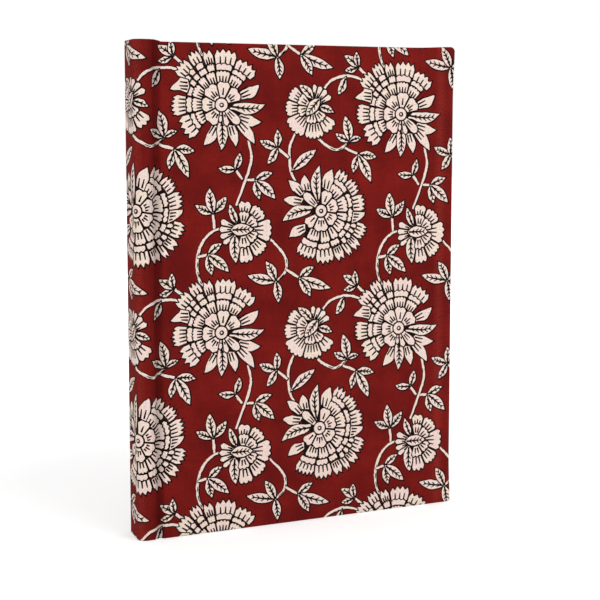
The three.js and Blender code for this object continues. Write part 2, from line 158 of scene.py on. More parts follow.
class Tree:
    """Adds nodes to a shader or geometry tree."""

    def __init__(self, nodes: bpy.types.NodeTree) -> None:
        """Wraps a node tree."""
        self.nodes = nodes

    def add(self, kind: str, settings: dict | None = None, inputs: dict | None = None,
            output: int | str = 0) -> Value:
        """Adds a node.

        Args:
            kind: The node's type.
            settings: Its properties, set before its sockets.
            inputs: Values or links by socket name or index.
            output: The output that is returned.

        Returns:
            The chosen output.
        """
        node = self.nodes.nodes.new(kind)
        for name, setting in (settings or {}).items():
            setattr(node, name, setting)
        for name, given in (inputs or {}).items():
            if isinstance(given, Value):
                self.nodes.links.new(given.socket, node.inputs[name])
            else:
                node.inputs[name].default_value = given
        return Value(self, node.outputs[output])

    def mix(self, factor: Value | float, a: Value | tuple, b: Value | tuple, blend: str = "MIX") -> Value:
        """A mix of two colours.

        Args:
            factor: The share of b.
            a: The first colour.
            b: The second colour.
            blend: The blend type.

        Returns:
            The mixed colour.
        """
        def filled(color: Value | tuple) -> Value | tuple:
            """A colour with its alpha."""
            return color if isinstance(color, Value) else (*color, 1.0)

        settings = {"data_type": "RGBA", "blend_type": blend}
        return self.add("ShaderNodeMix", settings, {0: factor, 6: filled(a), 7: filled(b)}, output=2)

    def noise(self, place: Value, scale: float, detail: float = 3.0, rough: float = 0.5) -> Value:
        """Smooth noise over a place.

        Args:
            place: The coordinates.
            scale: The noise's scale.
            detail: Its octaves.
            rough: Its roughness.

        Returns:
            The noise, about 0.5.
        """
        inputs = {"Vector": place, "Scale": scale, "Detail": detail, "Roughness": rough}
        return self.add("ShaderNodeTexNoise", None, inputs)

    def scaled(self, place: Value, scale: tuple[float, float, float]) -> Value:
        """Coordinates scaled along each axis."""
        return self.add("ShaderNodeMapping", None, {"Vector": place, "Scale": scale})

    def axes(self, place: Value) -> tuple[Value, Value, Value]:
        """The three parts of a vector."""
        split = self.add("ShaderNodeSeparateXYZ", None, {0: place}).socket.node
        return tuple(Value(self, out) for out in split.outputs)

    def attribute(self, name: str, output: int | str = 0) -> Value:
        """What a mesh carries under a name, for a material."""
        settings = {"attribute_name": name, "attribute_type": "GEOMETRY"}
        return self.add("ShaderNodeAttribute", settings, output=output)

    def store(self, geometry: Value, name: str, value: Value) -> Value:
        """Geometry whose points carry a number under a name."""
        return self.add("GeometryNodeStoreNamedAttribute", {"data_type": "FLOAT", "domain": "POINT"},
                        {"Geometry": geometry, "Name": name, "Value": value})

    def read(self, name: str) -> Value:
        """The number that points carry under a name."""
        return self.add("GeometryNodeInputNamedAttribute", {"data_type": "FLOAT"}, {"Name": name})

    def join(self, parts: list[Value]) -> Value:
        """Several geometries as one.

        Args:
            parts: The geometries.

        Returns:
            All of them.
        """
        node = self.nodes.nodes.new("GeometryNodeJoinGeometry")
        for part in parts:
            self.nodes.links.new(part.socket, node.inputs[0])
        return Value(self, node.outputs[0])

    def end(self, kind: str, socket: int | str, value: Value) -> None:
        """Adds an output node and feeds one of its sockets."""
        node = self.nodes.nodes.new(kind)
        self.nodes.links.new(value.socket, node.inputs[socket])

    def shaded(self, color: Value, level: Value, blue: float = 1.0) -> Value:
        """A colour times a level of light.

        Args:
            color: The colour.
            level: The level.
            blue: How much of the level its blue gets.

        Returns:
            The shaded colour.
        """
        shade = self.add("ShaderNodeCombineColor", None, {0: level, 1: level, 2: level * blue})
        return self.mix(1.0, color, shade, "MULTIPLY")

    def weave(self, across: Value, up: Value, thread_mm: float) -> tuple[Value, Value]:
        """A plain weave over two coordinates in metres.

        Args:
            across: The coordinate across the warp.
            up: The coordinate along it.
            thread_mm: From one thread to the next.

        Returns:
            The height of the thread on top, and where the gaps are, both 0 to 1.
        """
        turn = math.pi / (thread_mm * MM)
        weft, warp = (across * turn).sin(), (up * turn).sin()
        over = (weft * warp).above(0.0)
        ridge = over * warp.abs() + (1.0 - over) * weft.abs()
        return ridge, (1.0 - weft.abs()) * (1.0 - warp.abs())


def linear(red: int, green: int, blue: int) -> tuple[float, float, float]:
    """A display colour as linear light.

    Args:
        red: Red, 0 to 255.
        green: Green, 0 to 255.
        blue: Blue, 0 to 255.

    Returns:
        The linear colour.
    """
    def one(level: int) -> float:
        """One channel."""
        part = level / 255
        return part / 12.92 if part <= 0.04045 else ((part + 0.055) / 1.055) ** 2.4

    return one(red), one(green), one(blue)


@dataclass(frozen=True)
class Finish:
    """A material with the parts that all finishes share."""

    name: str = "finish"
    roughness: float = 0.85
    specular: float = 0.25
    sheen: float = 0.0
    sheen_roughness: float = 0.6
    bump_mm: float = 0.02

    def paint(self, tree: Tree, place: Value) -> tuple[Value, Value, Value]:
        """The surface's colour, height (0 to 1) and roughness over a place in metres."""
        raise NotImplementedError

    def place(self, tree: Tree) -> Value:
        """The coordinates that the finish reads, in metres."""
        return tree.add("ShaderNodeTexCoord", output="Object")

    def make(self) -> bpy.types.Material:
        """Builds the material.

        Returns:
            The material.
        """
        material = bpy.data.materials.new(self.name)
        material.use_nodes = True
        material.node_tree.nodes.clear()
        tree = Tree(material.node_tree)
        color, height, rough = self.paint(tree, self.place(tree))
        normal = tree.add("ShaderNodeBump", None, {"Height": height, "Distance": self.bump_mm * MM})
        inputs = {
            "Base Color": color,
            "Roughness": rough,
            "Normal": normal,
            "Specular IOR Level": self.specular,
            "Sheen Weight": self.sheen,
            "Sheen Roughness": self.sheen_roughness,
        }
        tree.end("ShaderNodeOutputMaterial", "Surface", tree.add("ShaderNodeBsdfPrincipled", None, inputs))
        return material


@dataclass(frozen=True)
class PrintedCotton(Finish):
    """Plain-woven cotton, block printed in cream and black on madder red."""

    name: str = "printed_cotton"
    roughness: float = 0.86
    specular: float = 0.05
    bump_mm: float = 0.05
    red: tuple = linear(136, 31, 26)
    red_deep: tuple = linear(106, 22, 20)
    cream: tuple = linear(251, 228, 217)
    cream_warm: tuple = linear(249, 230, 208)
    cream_pink: tuple = linear(252, 221, 212)
    # Painted highlight: a lighter, greyer red for the spine's rounded corner and near the fore-edge.
    red_highlight: tuple = linear(154, 52, 44)
    black: tuple = linear(26, 14, 14)
    black_worn: tuple = linear(84, 28, 24)
    thread_mm: float = 0.42
    slub_scales: tuple = (60, 1800)
    dye_scale: float = 55.0
    speck_scale: float = 1400.0
    # Where the painted highlight runs, as lengths from the spine's middle, and its width.
    highlight_lines: tuple = (7.6, 153.0)
    highlight_width: float = 3.2
    # Painted shade: a darker band up the cloth at the groove's wall by the board's edge.
    groove_shade_line: float = 16.1
    groove_shade_width: float = 4.2
    groove_shade_strength: float = 0.46

    def place(self, tree: Tree) -> Value:
        """The cloth's own coordinates, in metres along the weft and the warp."""
        place = tree.add("ShaderNodeUVMap", {"uv_map": CLOTH_UV})
        return tree.scaled(place, (UV_SPAN * MM,) * 3)

    def near(self, along: Value, line: float, width: float) -> Value:
        """1 on a line up the cloth, given as a length from the spine's middle, and 0 past its width."""
        return (1.0 - ((along / MM - line - UV_MARGIN[0]) / width).abs()).clamp()

    def paint(self, tree: Tree, place: Value) -> tuple[Value, Value, Value]:
        """Ink by the print's attribute, over a weave with slubs and uneven dye.

        Args:
            tree: The material's tree.
            place: The coordinates, in metres.

        Returns:
            Colour, height and roughness.
        """
        along, up, _ = tree.axes(place)
        ridge, _ = tree.weave(along, up, self.thread_mm)
        coarse, fine = self.slub_scales
        slub_weft = tree.noise(tree.scaled(place, (coarse, fine, 1)), 1.0, detail=2.0)
        slub_warp = tree.noise(tree.scaled(place, (fine, coarse, 1)), 1.0, detail=2.0)
        slub = (slub_weft + slub_warp) * 0.5
        dye = tree.noise(place, self.dye_scale, detail=4.0, rough=0.6)
        speck = tree.noise(place, self.speck_scale, detail=2.0, rough=0.6)

        cream_mask, black_mask, tint = tree.axes(tree.attribute(PRINT_ATTRIBUTE))
        red = tree.mix(dye.past(0.35, 2.6), self.red_deep, self.red)
        # Painted highlight: the red lightens, in specks, along the spine's corner and near the fore-edge.
        highlight = sum((self.near(along, line, self.highlight_width) for line in self.highlight_lines), 0.0)
        red = tree.mix(highlight * (speck * 1.4 - 0.3).clamp(), red, self.red_highlight)
        cream = tree.mix(tint.past(0.5, 1.1), self.cream, self.cream_warm)
        cream = tree.mix(tint.past(0.45, -1.2), cream, self.cream_pink)
        cream = tree.mix(speck.past(0.56, 3.0) * 0.35, cream, self.cream_pink)
        black = tree.mix(speck.past(0.55, 4.0) * 0.25, self.black, self.black_worn)
        color = tree.mix(black_mask, tree.mix(cream_mask, red, cream), black)
        # Painted shade in the groove: the whole colour, print included, is darkened along the band by the
        # board's edge.
        groove_shade = self.near(along, self.groove_shade_line, self.groove_shade_width) * self.groove_shade_strength
        uneven = (slub - 0.5) * 0.4 + (speck - 0.5) * 0.7
        # Threads that lie on top are lighter than those under them: painted shade in the weave, with real
        # slubs and specks.
        level = (0.9 + 0.1 * ridge + uneven) * (1.0 - groove_shade)
        rough = self.roughness + (speck - 0.5) * 0.15 - black_mask * 0.05
        return tree.shaded(color, level), ridge * 0.7 + slub * 0.6, rough


@dataclass(frozen=True)
class Paper(Finish):
    """Uncoated paper with faint fibres and mottling."""

    name: str = "paper"
    roughness: float = 0.82
    tone: tuple = linear(240, 230, 208)
    shade: tuple = linear(226, 214, 188)
    fleck_tone: tuple = linear(188, 168, 136)
    bump_mm: float = 0.012

    def paint(self, tree: Tree, place: Value) -> tuple[Value, Value, Value]:
        """Cloudy tone, short fibres and flecks.

        Args:
            tree: The material's tree.
            place: The coordinates, in metres.

        Returns:
            Colour, height and roughness.
        """
        cloud = tree.noise(place, 70.0, 4.0, 0.55)
        fibre = tree.noise(tree.scaled(place, (900, 900, 260)), 1.0, 3.0, 0.65)
        fleck = tree.noise(place, 2600.0, 1.0)
        amount = cloud.past(0.4, 1.6) * 0.6 + (fibre - 0.5) * 0.5
        color = tree.mix(amount.clamp(), self.tone, self.shade)
        color = tree.mix(fleck.past(0.68, 6.0) * 0.25, color, self.fleck_tone)
        height = fibre * 0.7 + fleck * 0.3
        return color, height, self.roughness + (fibre - 0.5) * 0.12


@dataclass(frozen=True)
class LeafPaper(Paper):
    """Writing paper whose leaves differ a little in tone, so that the cut edges show lines."""

    name: str = "leaf_paper"
    tone: tuple = linear(243, 234, 214)
    shade: tuple = linear(229, 217, 191)

    def paint(self, tree: Tree, place: Value) -> tuple[Value, Value, Value]:
        """Paper, toned leaf by leaf.

        Args:
            tree: The material's tree.
            place: The coordinates, in metres.

        Returns:
            Colour, height and roughness.
        """
        color, height, rough = super().paint(tree, place)
        level = 0.9 + tree.attribute(LEAF_ATTRIBUTE, "Fac") * 0.12
        return tree.shaded(color, level, blue=0.99), height, rough


@dataclass(frozen=True)
class GreyBoard(Finish):
    """Binder's board: compacted grey pulp with pale and dark fibres."""

    name: str = "grey_board"
    roughness: float = 0.93
    bump_mm: float = 0.05
    tone: tuple = linear(122, 115, 104)
    pale: tuple = linear(158, 150, 137)
    fleck_tone: tuple = linear(90, 82, 72)

    def paint(self, tree: Tree, place: Value) -> tuple[Value, Value, Value]:
        """Pulp mottling and flecks.

        Args:
            tree: The material's tree.
            place: The coordinates, in metres.

        Returns:
            Colour, height and roughness.
        """
        pulp = tree.noise(place, 420.0, 5.0, 0.7)
        fleck = tree.noise(tree.scaled(place, (1500, 1500, 500)), 1.0, 2.0)
        color = tree.mix(pulp.past(0.3, 2.0), self.tone, self.pale)
        color = tree.mix(fleck.past(0.64, 7.0) * 0.6, color, self.fleck_tone)
        return color, pulp, self.roughness + (fleck - 0.5) * 0.1


@dataclass(frozen=True)
class WovenBand(Finish):
    """Undyed cotton or linen: tape, gauze or thread, by its thread size and how open it is, which darkens the
    gaps with painted shade.
    """

    name: str = "cotton_tape"
    roughness: float = 0.9
    sheen: float = 0.1
    thread_mm: float = 0.5
    openness: float = 0.0
    tone: tuple = linear(226, 214, 188)
    shade: tuple = linear(186, 170, 138)
    bump_mm: float = 0.08

    def paint(self, tree: Tree, place: Value) -> tuple[Value, Value, Value]:
        """Threads across the book's thickness and up its height.

        Args:
            tree: The material's tree.
            place: The coordinates, in metres.

        Returns:
            Colour, height and roughness.
        """
        _, across, up = tree.axes(place)
        ridge, gap = tree.weave(across, up, self.thread_mm)
        uneven = tree.noise(place, 900.0, 3.0)
        # Uneven tone, with painted shade on the threads that lie under and in the gaps of an open weave.
        dark = uneven * 0.5 + (1.0 - ridge) * 0.45 + gap * self.openness
        color = tree.mix(dark.clamp(), self.tone, self.shade)
        return color, ridge * 0.8 + uneven * 0.3, self.roughness + (uneven - 0.5) * 0.12


@dataclass(frozen=True)
class TwistedThread(Finish):
    """Waxed thread of three plies."""

    name: str = "linen_thread"
    roughness: float = 0.68
    sheen: float = 0.1
    lay_mm: float = 0.9
    slant: float = 1.4
    tone: tuple = linear(233, 222, 196)
    shade: tuple = linear(170, 152, 118)
    bump_mm: float = 0.06

    def paint(self, tree: Tree, place: Value) -> tuple[Value, Value, Value]:
        """Slanting plies with loose fibres.

        Args:
            tree: The material's tree.
            place: The coordinates, in metres.

        Returns:
            Colour, height and roughness.
        """
        along, across, up = tree.axes(place)
        turn = 2.0 * math.pi / (self.lay_mm * MM)
        ply = ((up + along * self.slant + across * self.slant) * turn).sin() * 0.5 + 0.5
        fibre = tree.noise(tree.scaled(place, (4000, 4000, 1500)), 1.0, 2.0)
        # Darker in the grooves between plies: painted shade, beside the fibres' own tone.
        color = tree.mix(((1.0 - ply) * 0.7 + fibre * 0.3).clamp(), self.tone, self.shade)
        return color, ply, self.roughness + (fibre - 0.5) * 0.15


# The case's shape


@dataclass(frozen=True)
class CaseShape:
    """The outer face of the case's cloth, as the part's source has it, and the way round its edges."""

    height: float = 214.0
    width: float = 152.0
    spine_rise: float = 0.9
    cloth: float = 0.4
    outer: float = 8.24
    spine_radius: float = 3.2
    board_edge: float = 12.0
    groove_reach: float = 9.6
    groove_half: float = 2.4
    groove_depth: float = 1.5
    shoulder_drop: float = 0.3
    turn_in: float = 15.0
    edge_rounding: float = 0.7
    corner_radius: float = 1.4
    cover_depth: float = 3.04
    spine_depth: float = 2.84
    mitre_slit: float = 0.12
    lump: float = 0.7
    lump_run: float = 11.0
    lump_fade: float = 3.0
    board_rise: Point = (11.4, 12.2)
    flat_steps: int = 19
    round_steps: int = 59
    groove_step: float = 0.04
    turn_steps: int = 4
    probe: float = 0.03
    past_edge: float = 0.5
    bend_height_m: float = 0.1

    def depth(self, reach: np.ndarray) -> np.ndarray:
        """Depth of the outer face past the spine's corner.

        Args:
            reach: Where.

        Returns:
            The depth from the book's middle plane.
        """
        across = (reach - self.groove_reach) / self.groove_half
        dip = np.where(np.abs(across) < 1, np.cos(np.clip(across, -1, 1) * math.pi / 2) ** 2, 0.0)
        along = (reach - self.spine_radius) / (self.groove_reach - self.spine_radius)
        left = self.outer - self.shoulder_drop * along ** 2 - (self.groove_depth - self.shoulder_drop) * dip
        return np.where(reach > self.groove_reach, self.outer - self.groove_depth * dip, left)

    def profile(self) -> tuple[np.ndarray, np.ndarray, np.ndarray]:
        """The outer line from the spine's middle to the fore-edge.

        Returns:
            Lengths along the cloth, reaches and depths.
        """
        radius = self.spine_radius
        flat = np.linspace(0, self.outer - radius, self.flat_steps + 1)[:-1]
        angle = np.linspace(0, math.pi / 2, self.round_steps + 1)[:-1]
        near = np.arange(radius, self.board_edge + self.past_edge, self.groove_step)
        rounded = self.outer - radius + radius * np.sin(angle)
        reach = np.concatenate([flat * 0, radius - radius * np.cos(angle), near, [self.width]])
        depth = np.concatenate([flat, rounded, self.depth(near), [self.outer]])
        steps = np.hypot(np.diff(reach), np.diff(depth))
        return np.concatenate([[0], np.cumsum(steps)]), reach, depth

    def along(self, reach: float) -> float:
        """Length along the cloth, from the spine's middle, at a reach past the spine's corner."""
        length, reaches, _ = self.profile()
        return float(np.interp(reach, reaches[self.flat_steps:], length[self.flat_steps:]))

    def wrapped(self, reach: np.ndarray) -> np.ndarray:
        """How thick the part is that the cloth goes round at head and tail, cloth included.

        Args:
            reach: Where.

        Returns:
            The thickness.
        """
        double = 2 * self.cloth
        round_spine = np.maximum(1 - reach / self.spine_radius, 1e-3)
        spine = np.maximum(self.spine_radius - (self.spine_radius - self.spine_depth) / round_spine, double)
        cover = np.interp(reach, self.board_rise, [double, self.cover_depth])
        return np.where(reach < self.spine_radius, spine, cover)

    def levels(self, thickness: float) -> list[float]:
        """Distances past the inset line at which the way round an edge bends.

        Args:
            thickness: What the cloth goes round there.

        Returns:
            The distances, the last one where the cloth is back under the inset line.
        """
        radius = min(self.edge_rounding, thickness / 2)
        flat = self.corner_radius - radius
        quarter = math.pi / 2 * radius
        turned = [quarter * i / self.turn_steps for i in range(self.turn_steps + 1)]
        first = [flat + part for part in turned]
        second = [first[-1] + thickness - 2 * radius + part for part in turned]
        return [*first, *second, second[-1] + flat]

    def section(self, along: np.ndarray) -> tuple[np.ndarray, np.ndarray, np.ndarray, np.ndarray]:
        """The outer line at lengths along the cloth.

        Args:
            along: The lengths from the spine's middle.

        Returns:
            Reaches, depths, and the line's tangents and outward normals.
        """
        length, *lines = self.profile()
        reach, depth = (np.interp(along, length, line) for line in lines)
        tangent = np.column_stack([
            np.interp(along + self.probe, length, line) - np.interp(along - self.probe, length, line)
            for line in lines
        ])
        tangent /= np.hypot(tangent[:, 0], tangent[:, 1])[:, None]
        return reach, depth, tangent, np.column_stack([-tangent[:, 1], tangent[:, 0]])

    def place(self, flat: np.ndarray, inset: float) -> np.ndarray:
        """Wraps points of the flat front half round the case.

        Args:
            flat: Points as length along the cloth and height.
            inset: How far under the cloth's outer face they lie.

        Returns:
            Points as reach, depth and height.
        """
        corner = self.corner_radius
        fore_edge = self.profile()[0][-1] - corner
        head = self.height - corner
        inner = np.column_stack([np.minimum(flat[:, 0], fore_edge), np.clip(flat[:, 1], corner, head)])
        past = flat - inner
        distance = np.hypot(past[:, 0], past[:, 1])
        away = past / np.maximum(distance, 1e-9)[:, None]
        reach, depth, tangent, normal = self.section(inner[:, 0])

        thickness = self.wrapped(reach)
        radius = np.minimum(self.edge_rounding, thickness / 2)
        start = corner - radius
        quarter = math.pi / 2 * radius
        straight = thickness - 2 * radius
        first = np.clip(distance - start, 0, quarter) / radius
        second = np.clip(distance - start - quarter - straight, 0, quarter) / radius
        middle = np.clip(distance - start - quarter, 0, straight)
        back = np.maximum(distance - start - 2 * quarter - straight, 0)
        turn = first + second
        lateral = np.minimum(distance, start) + radius * np.sin(turn) - back
        sink = radius * (1 - np.cos(turn)) + middle

        # The folded corners are thicker, but not under the tail edge, which the book stands on.
        gaps = [np.hypot(fore_edge - inner[:, 0], inner[:, 1] - level) for level in (corner, head)]
        thick = np.exp(-(np.minimum(*gaps) / self.lump_run) ** 2) * self.lump
        thick *= np.clip(distance / corner, 0, 1) * np.clip(1 - back / self.lump_fade, 0, 1)
        thick *= np.where(away[:, 1] < -0.5, 0, 1)
        sideways = lateral + thick - inset * np.sin(turn)
        down = sink + inset * np.cos(turn)

        out = np.empty((len(flat), 3))
        out[:, 0] = reach + tangent[:, 0] * away[:, 0] * sideways - normal[:, 0] * down
        out[:, 1] = depth + tangent[:, 1] * away[:, 0] * sideways - normal[:, 1] * down
        out[:, 2] = inner[:, 1] + away[:, 1] * sideways
        rise = self.spine_rise * np.interp(reach, [self.groove_reach, self.board_edge], [1.0, 0.0])
        out[:, 2] *= 1 + rise / self.height
        return out

    def hinge(self, piece: bpy.types.Object, side: Side, bend_from: Point, bend_to: Point) -> None:
        """Puts a piece's place into its mesh; no bend is set up.

        Args:
            piece: The piece.
            side: Its half.
            bend_from: Not used.
            bend_to: Not used.
        """
        if side is Side.FRONT:
            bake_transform(piece)
        else:
            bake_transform(piece)


# The block print

PRINT_SEED = 7
SHARPEST_CORNER = 0.9
LEAF_POINTS = 8
NARROW_BASE = 3.2


def catmull_rom(points: list[Point], steps: int) -> list[Point]:
    """A smooth line through points.

    Args:
        points: The points, at least two.
        steps: Parts between two points.

    Returns:
        The line's points.
    """
    ends = [points[0], *points, points[-1]]
    line = []
    for a, b, c, d in zip(ends, ends[1:], ends[2:], ends[3:]):
        for i in range(steps):
            t = i / steps
            line.append(tuple(
                0.5 * (2 * q + (r - p) * t + (2 * p - 5 * q + 4 * r - s) * t * t
                       + (3 * q - p - 3 * r + s) * t ** 3)
                for p, q, r, s in zip(a, b, c, d)
            ))
    line.append(points[-1])
    return line


def polar(angle: float, radius: float) -> Point:
    """A point at an angle in degrees and a distance."""
    return radius * math.cos(math.radians(angle)), radius * math.sin(math.radians(angle))


def strip(line: list[Point], widths: list[float]) -> list[Point]:
    """A band along a line.

    Args:
        line: The band's middle.
        widths: Its width at each point.

    Returns:
        The band's outline.
    """
    left, right = [], []
    for i, (x, y) in enumerate(line):
        before, after = line[max(i - 1, 0)], line[min(i + 1, len(line) - 1)]
        dx, dy = after[0] - before[0], after[1] - before[1]
        size = math.hypot(dx, dy) or 1.0
        nx, ny = -dy / size * widths[i] / 2, dx / size * widths[i] / 2
        left.append((x + nx, y + ny))
        right.append((x - nx, y - ny))
    return right + left[::-1]


def grown(outline: list[Point], margin: float) -> list[Point]:
    """An outline moved outwards.

    Args:
        outline: The outline, counter-clockwise.
        margin: How far.

    Returns:
        The larger outline.
    """
    out = []
    count = len(outline)
    for i, (x, y) in enumerate(outline):
        (ax, ay), (bx, by) = outline[i - 1], outline[(i + 1) % count]
        n1 = np.array([y - ay, ax - x])
        n2 = np.array([by - y, x - bx])
        n1 = n1 / (np.linalg.norm(n1) or 1.0)
        n2 = n2 / (np.linalg.norm(n2) or 1.0)
        both = n1 + n2
        scale = margin * 2 / max(float(both @ both), SHARPEST_CORNER)
        out.append((x + both[0] * scale, y + both[1] * scale))
    return out


def signed_area(outline: list[Point]) -> float:
    """An outline's area, positive where it runs counter-clockwise."""
    return sum(a[0] * b[1] - b[0] * a[1] for a, b in zip(outline, outline[1:] + outline[:1])) / 2


def wound(outline: list[Point]) -> list[Point]:
    """The outline, counter-clockwise."""
    return outline if signed_area(outline) > 0 else outline[::-1]


@dataclass
class Shape:
    """A cream shape of the print, with its black strokes."""

    outline: list[Point]
    strokes: list[list[Point]] = field(default_factory=list)


def stroke(start: Point, end: Point, width: float = 0.88, taper: float = 0.6) -> list[Point]:
    """A short black mark that narrows towards its end."""
    return strip([start, end], [width, width * taper])


def leaf(base: Point, tip: Point, width: float, bend: float = 0.0, ticks: int = 4, late: float = 1.0,
         foot: float = 0.0) -> Shape:
    """A pointed leaf with a ticked vein.

    Args:
        base: The stalk's end.
        tip: The point.
        width: The greatest width.
        bend: How far its middle bows to the left of base to tip.
        ticks: Pairs of side strokes.
        late: 1 for an even bow, more for one whose belly lies nearer to the tip.
        foot: How wide its base is, as a share of its width.

    Returns:
        The leaf.
    """
    ax, ay = tip[0] - base[0], tip[1] - base[1]
    length = math.hypot(ax, ay)
    ux, uy = ax / length, ay / length
    swell = 0.85 + 0.35 * (late - 1)
    point = 0.8 + 0.4 * (late - 1)

    def at(t: float, off: float) -> Point:
        """A point along the bowed middle and across it."""
        side = off + bend * (late + 1) ** (late + 1) / late ** late * t ** late * (1 - t)
        return base[0] + ux * t * length - uy * side, base[1] + uy * t * length + ux * side

    def half_width(t: float) -> float:
        """Half the width, at a share of the length."""
        least = foot if t ** swell < 0.5 else 0.0
        return width / 2 * max(math.sin(math.pi * min(1.0, t ** swell)) ** point, least)

    # The points lie closer towards the tip.
    shares = [1 - (1 - i / LEAF_POINTS) ** 1.25 for i in range(LEAF_POINTS + 1)]
    right = [at(t, -half_width(t)) for t in shares[:-1]]
    left = [at(t, half_width(t)) for t in shares[:0:-1]]
    strokes = []
    if ticks:
        vein = [at(t, 0.0) for t in (0.04, 0.3, 0.55, 0.82)]
        strokes.append(strip(vein, [0.9, 0.84, 0.74, 0.34]))
    for i in range(ticks):
        t = 0.2 + 0.55 * i / max(ticks - 1, 1)
        reach = width * 0.3 * math.sin(math.pi * t ** swell)
        tick_end = min(t + 0.9 * reach / length + 0.03, 0.95)
        strokes += [stroke(at(t, 0.0), at(tick_end, sign * reach), 0.66) for sign in (1, -1)]
    return Shape(right + left, strokes)


def flame(angle: float, r0: float, r1: float, width: float, lean: float, marks: int, bend: float) -> Shape:
    """A pointed petal that stands out from a flower.

    Args:
        angle: Its direction from the flower's centre.
        r0: Its base's distance.
        r1: Its tip's distance.
        width: Its greatest width.
        lean: How far its tip turns aside, in degrees.
        marks: Strokes at its base.
        bend: How far its middle bows.

    Returns:
        The petal.
    """
    base, tip = polar(angle, r0), polar(angle + lean, r1)
    shape = leaf(base, tip, width, bend, ticks=0, late=1.3, foot=0.8)
    ax, ay = tip[0] - base[0], tip[1] - base[1]
    length = math.hypot(ax, ay)
    ux, uy = ax / length, ay / length

    def at(share: float, off: float) -> Point:
        """A point along the petal's middle and across it."""
        return base[0] + ux * length * share - uy * off, base[1] + uy * length * share + ux * off

    for i in range(marks):
        off = (i - (marks - 1) / 2) * width * 0.3
        shape.strokes.append(stroke(at(0.12, off), at(0.5, off * 1.35)))
    return shape


def fan(a0: float, a1: float, r0: float, r1: float, teeth: int, tooth: float, marks: float = 0.5,
        crown: float = 0.0, gap: float = 0.72) -> Shape:
    """A petal that fills a sector, with a toothed or scalloped edge.

    Args:
        a0: Its first angle, in degrees.
        a1: Its last angle.
        r0: Its inner radius.
        r1: Its outer radius.
        teeth: Teeth along its edge.
        tooth: Their depth.
        marks: Length of the strokes from its base, as a share of its depth.
        crown: How much higher its middle teeth are.
        gap: The gap to the next petal.

    Returns:
        The petal.
    """
    inner_trim = math.degrees(gap / 2 / r0)
    outer_trim = math.degrees(gap / 2 / r1)
    outline = [polar(a1 - inner_trim - (a1 - a0 - 2 * inner_trim) * t, r0) for t in (0, 0.25, 0.5, 0.75, 1)]
    span = a1 - a0 - 2 * outer_trim
    rise = 0.5 if tooth > 1.2 else 0.3
    strokes = []
    for i in range(teeth):
        for t, low in ((0.0, 1.0), (0.28, rise), (0.5, 0.0), (0.72, rise)):
            share = (i + t) / teeth
            high = crown * (1 - (2 * share - 1) ** 2)
            outline.append(polar(a0 + outer_trim + span * share, r1 - crown + high - tooth * low))
    outline.append(polar(a1 - outer_trim, r1 - crown - tooth))
    if marks:
        # A long mark runs to each notch. A petal of one or two teeth has shorter ones between, if it is wide.
        narrow = math.radians(a1 - a0) * max(r0, 4.0) < NARROW_BASE
        for i in range(1, teeth * 2):
            if (teeth > 2 and i % 2) or (teeth == 2 and narrow and i != teeth):
                continue
            angle = a0 + (a1 - a0) * i / (teeth * 2)
            size = marks * (1.0 if i % 2 == 0 else 0.75)
            start = r0 + 0.1 + max(5.0 - r0, 0.0) * 0.5
            strokes.append(stroke(polar(angle, start), polar(angle, r0 + (r1 - r0) * size)))
    return Shape(outline, strokes)


def disc(radius: float, count: int = 18) -> list[Point]:
    """A round outline."""
    return [polar(360 * i / count, radius) for i in range(count)]


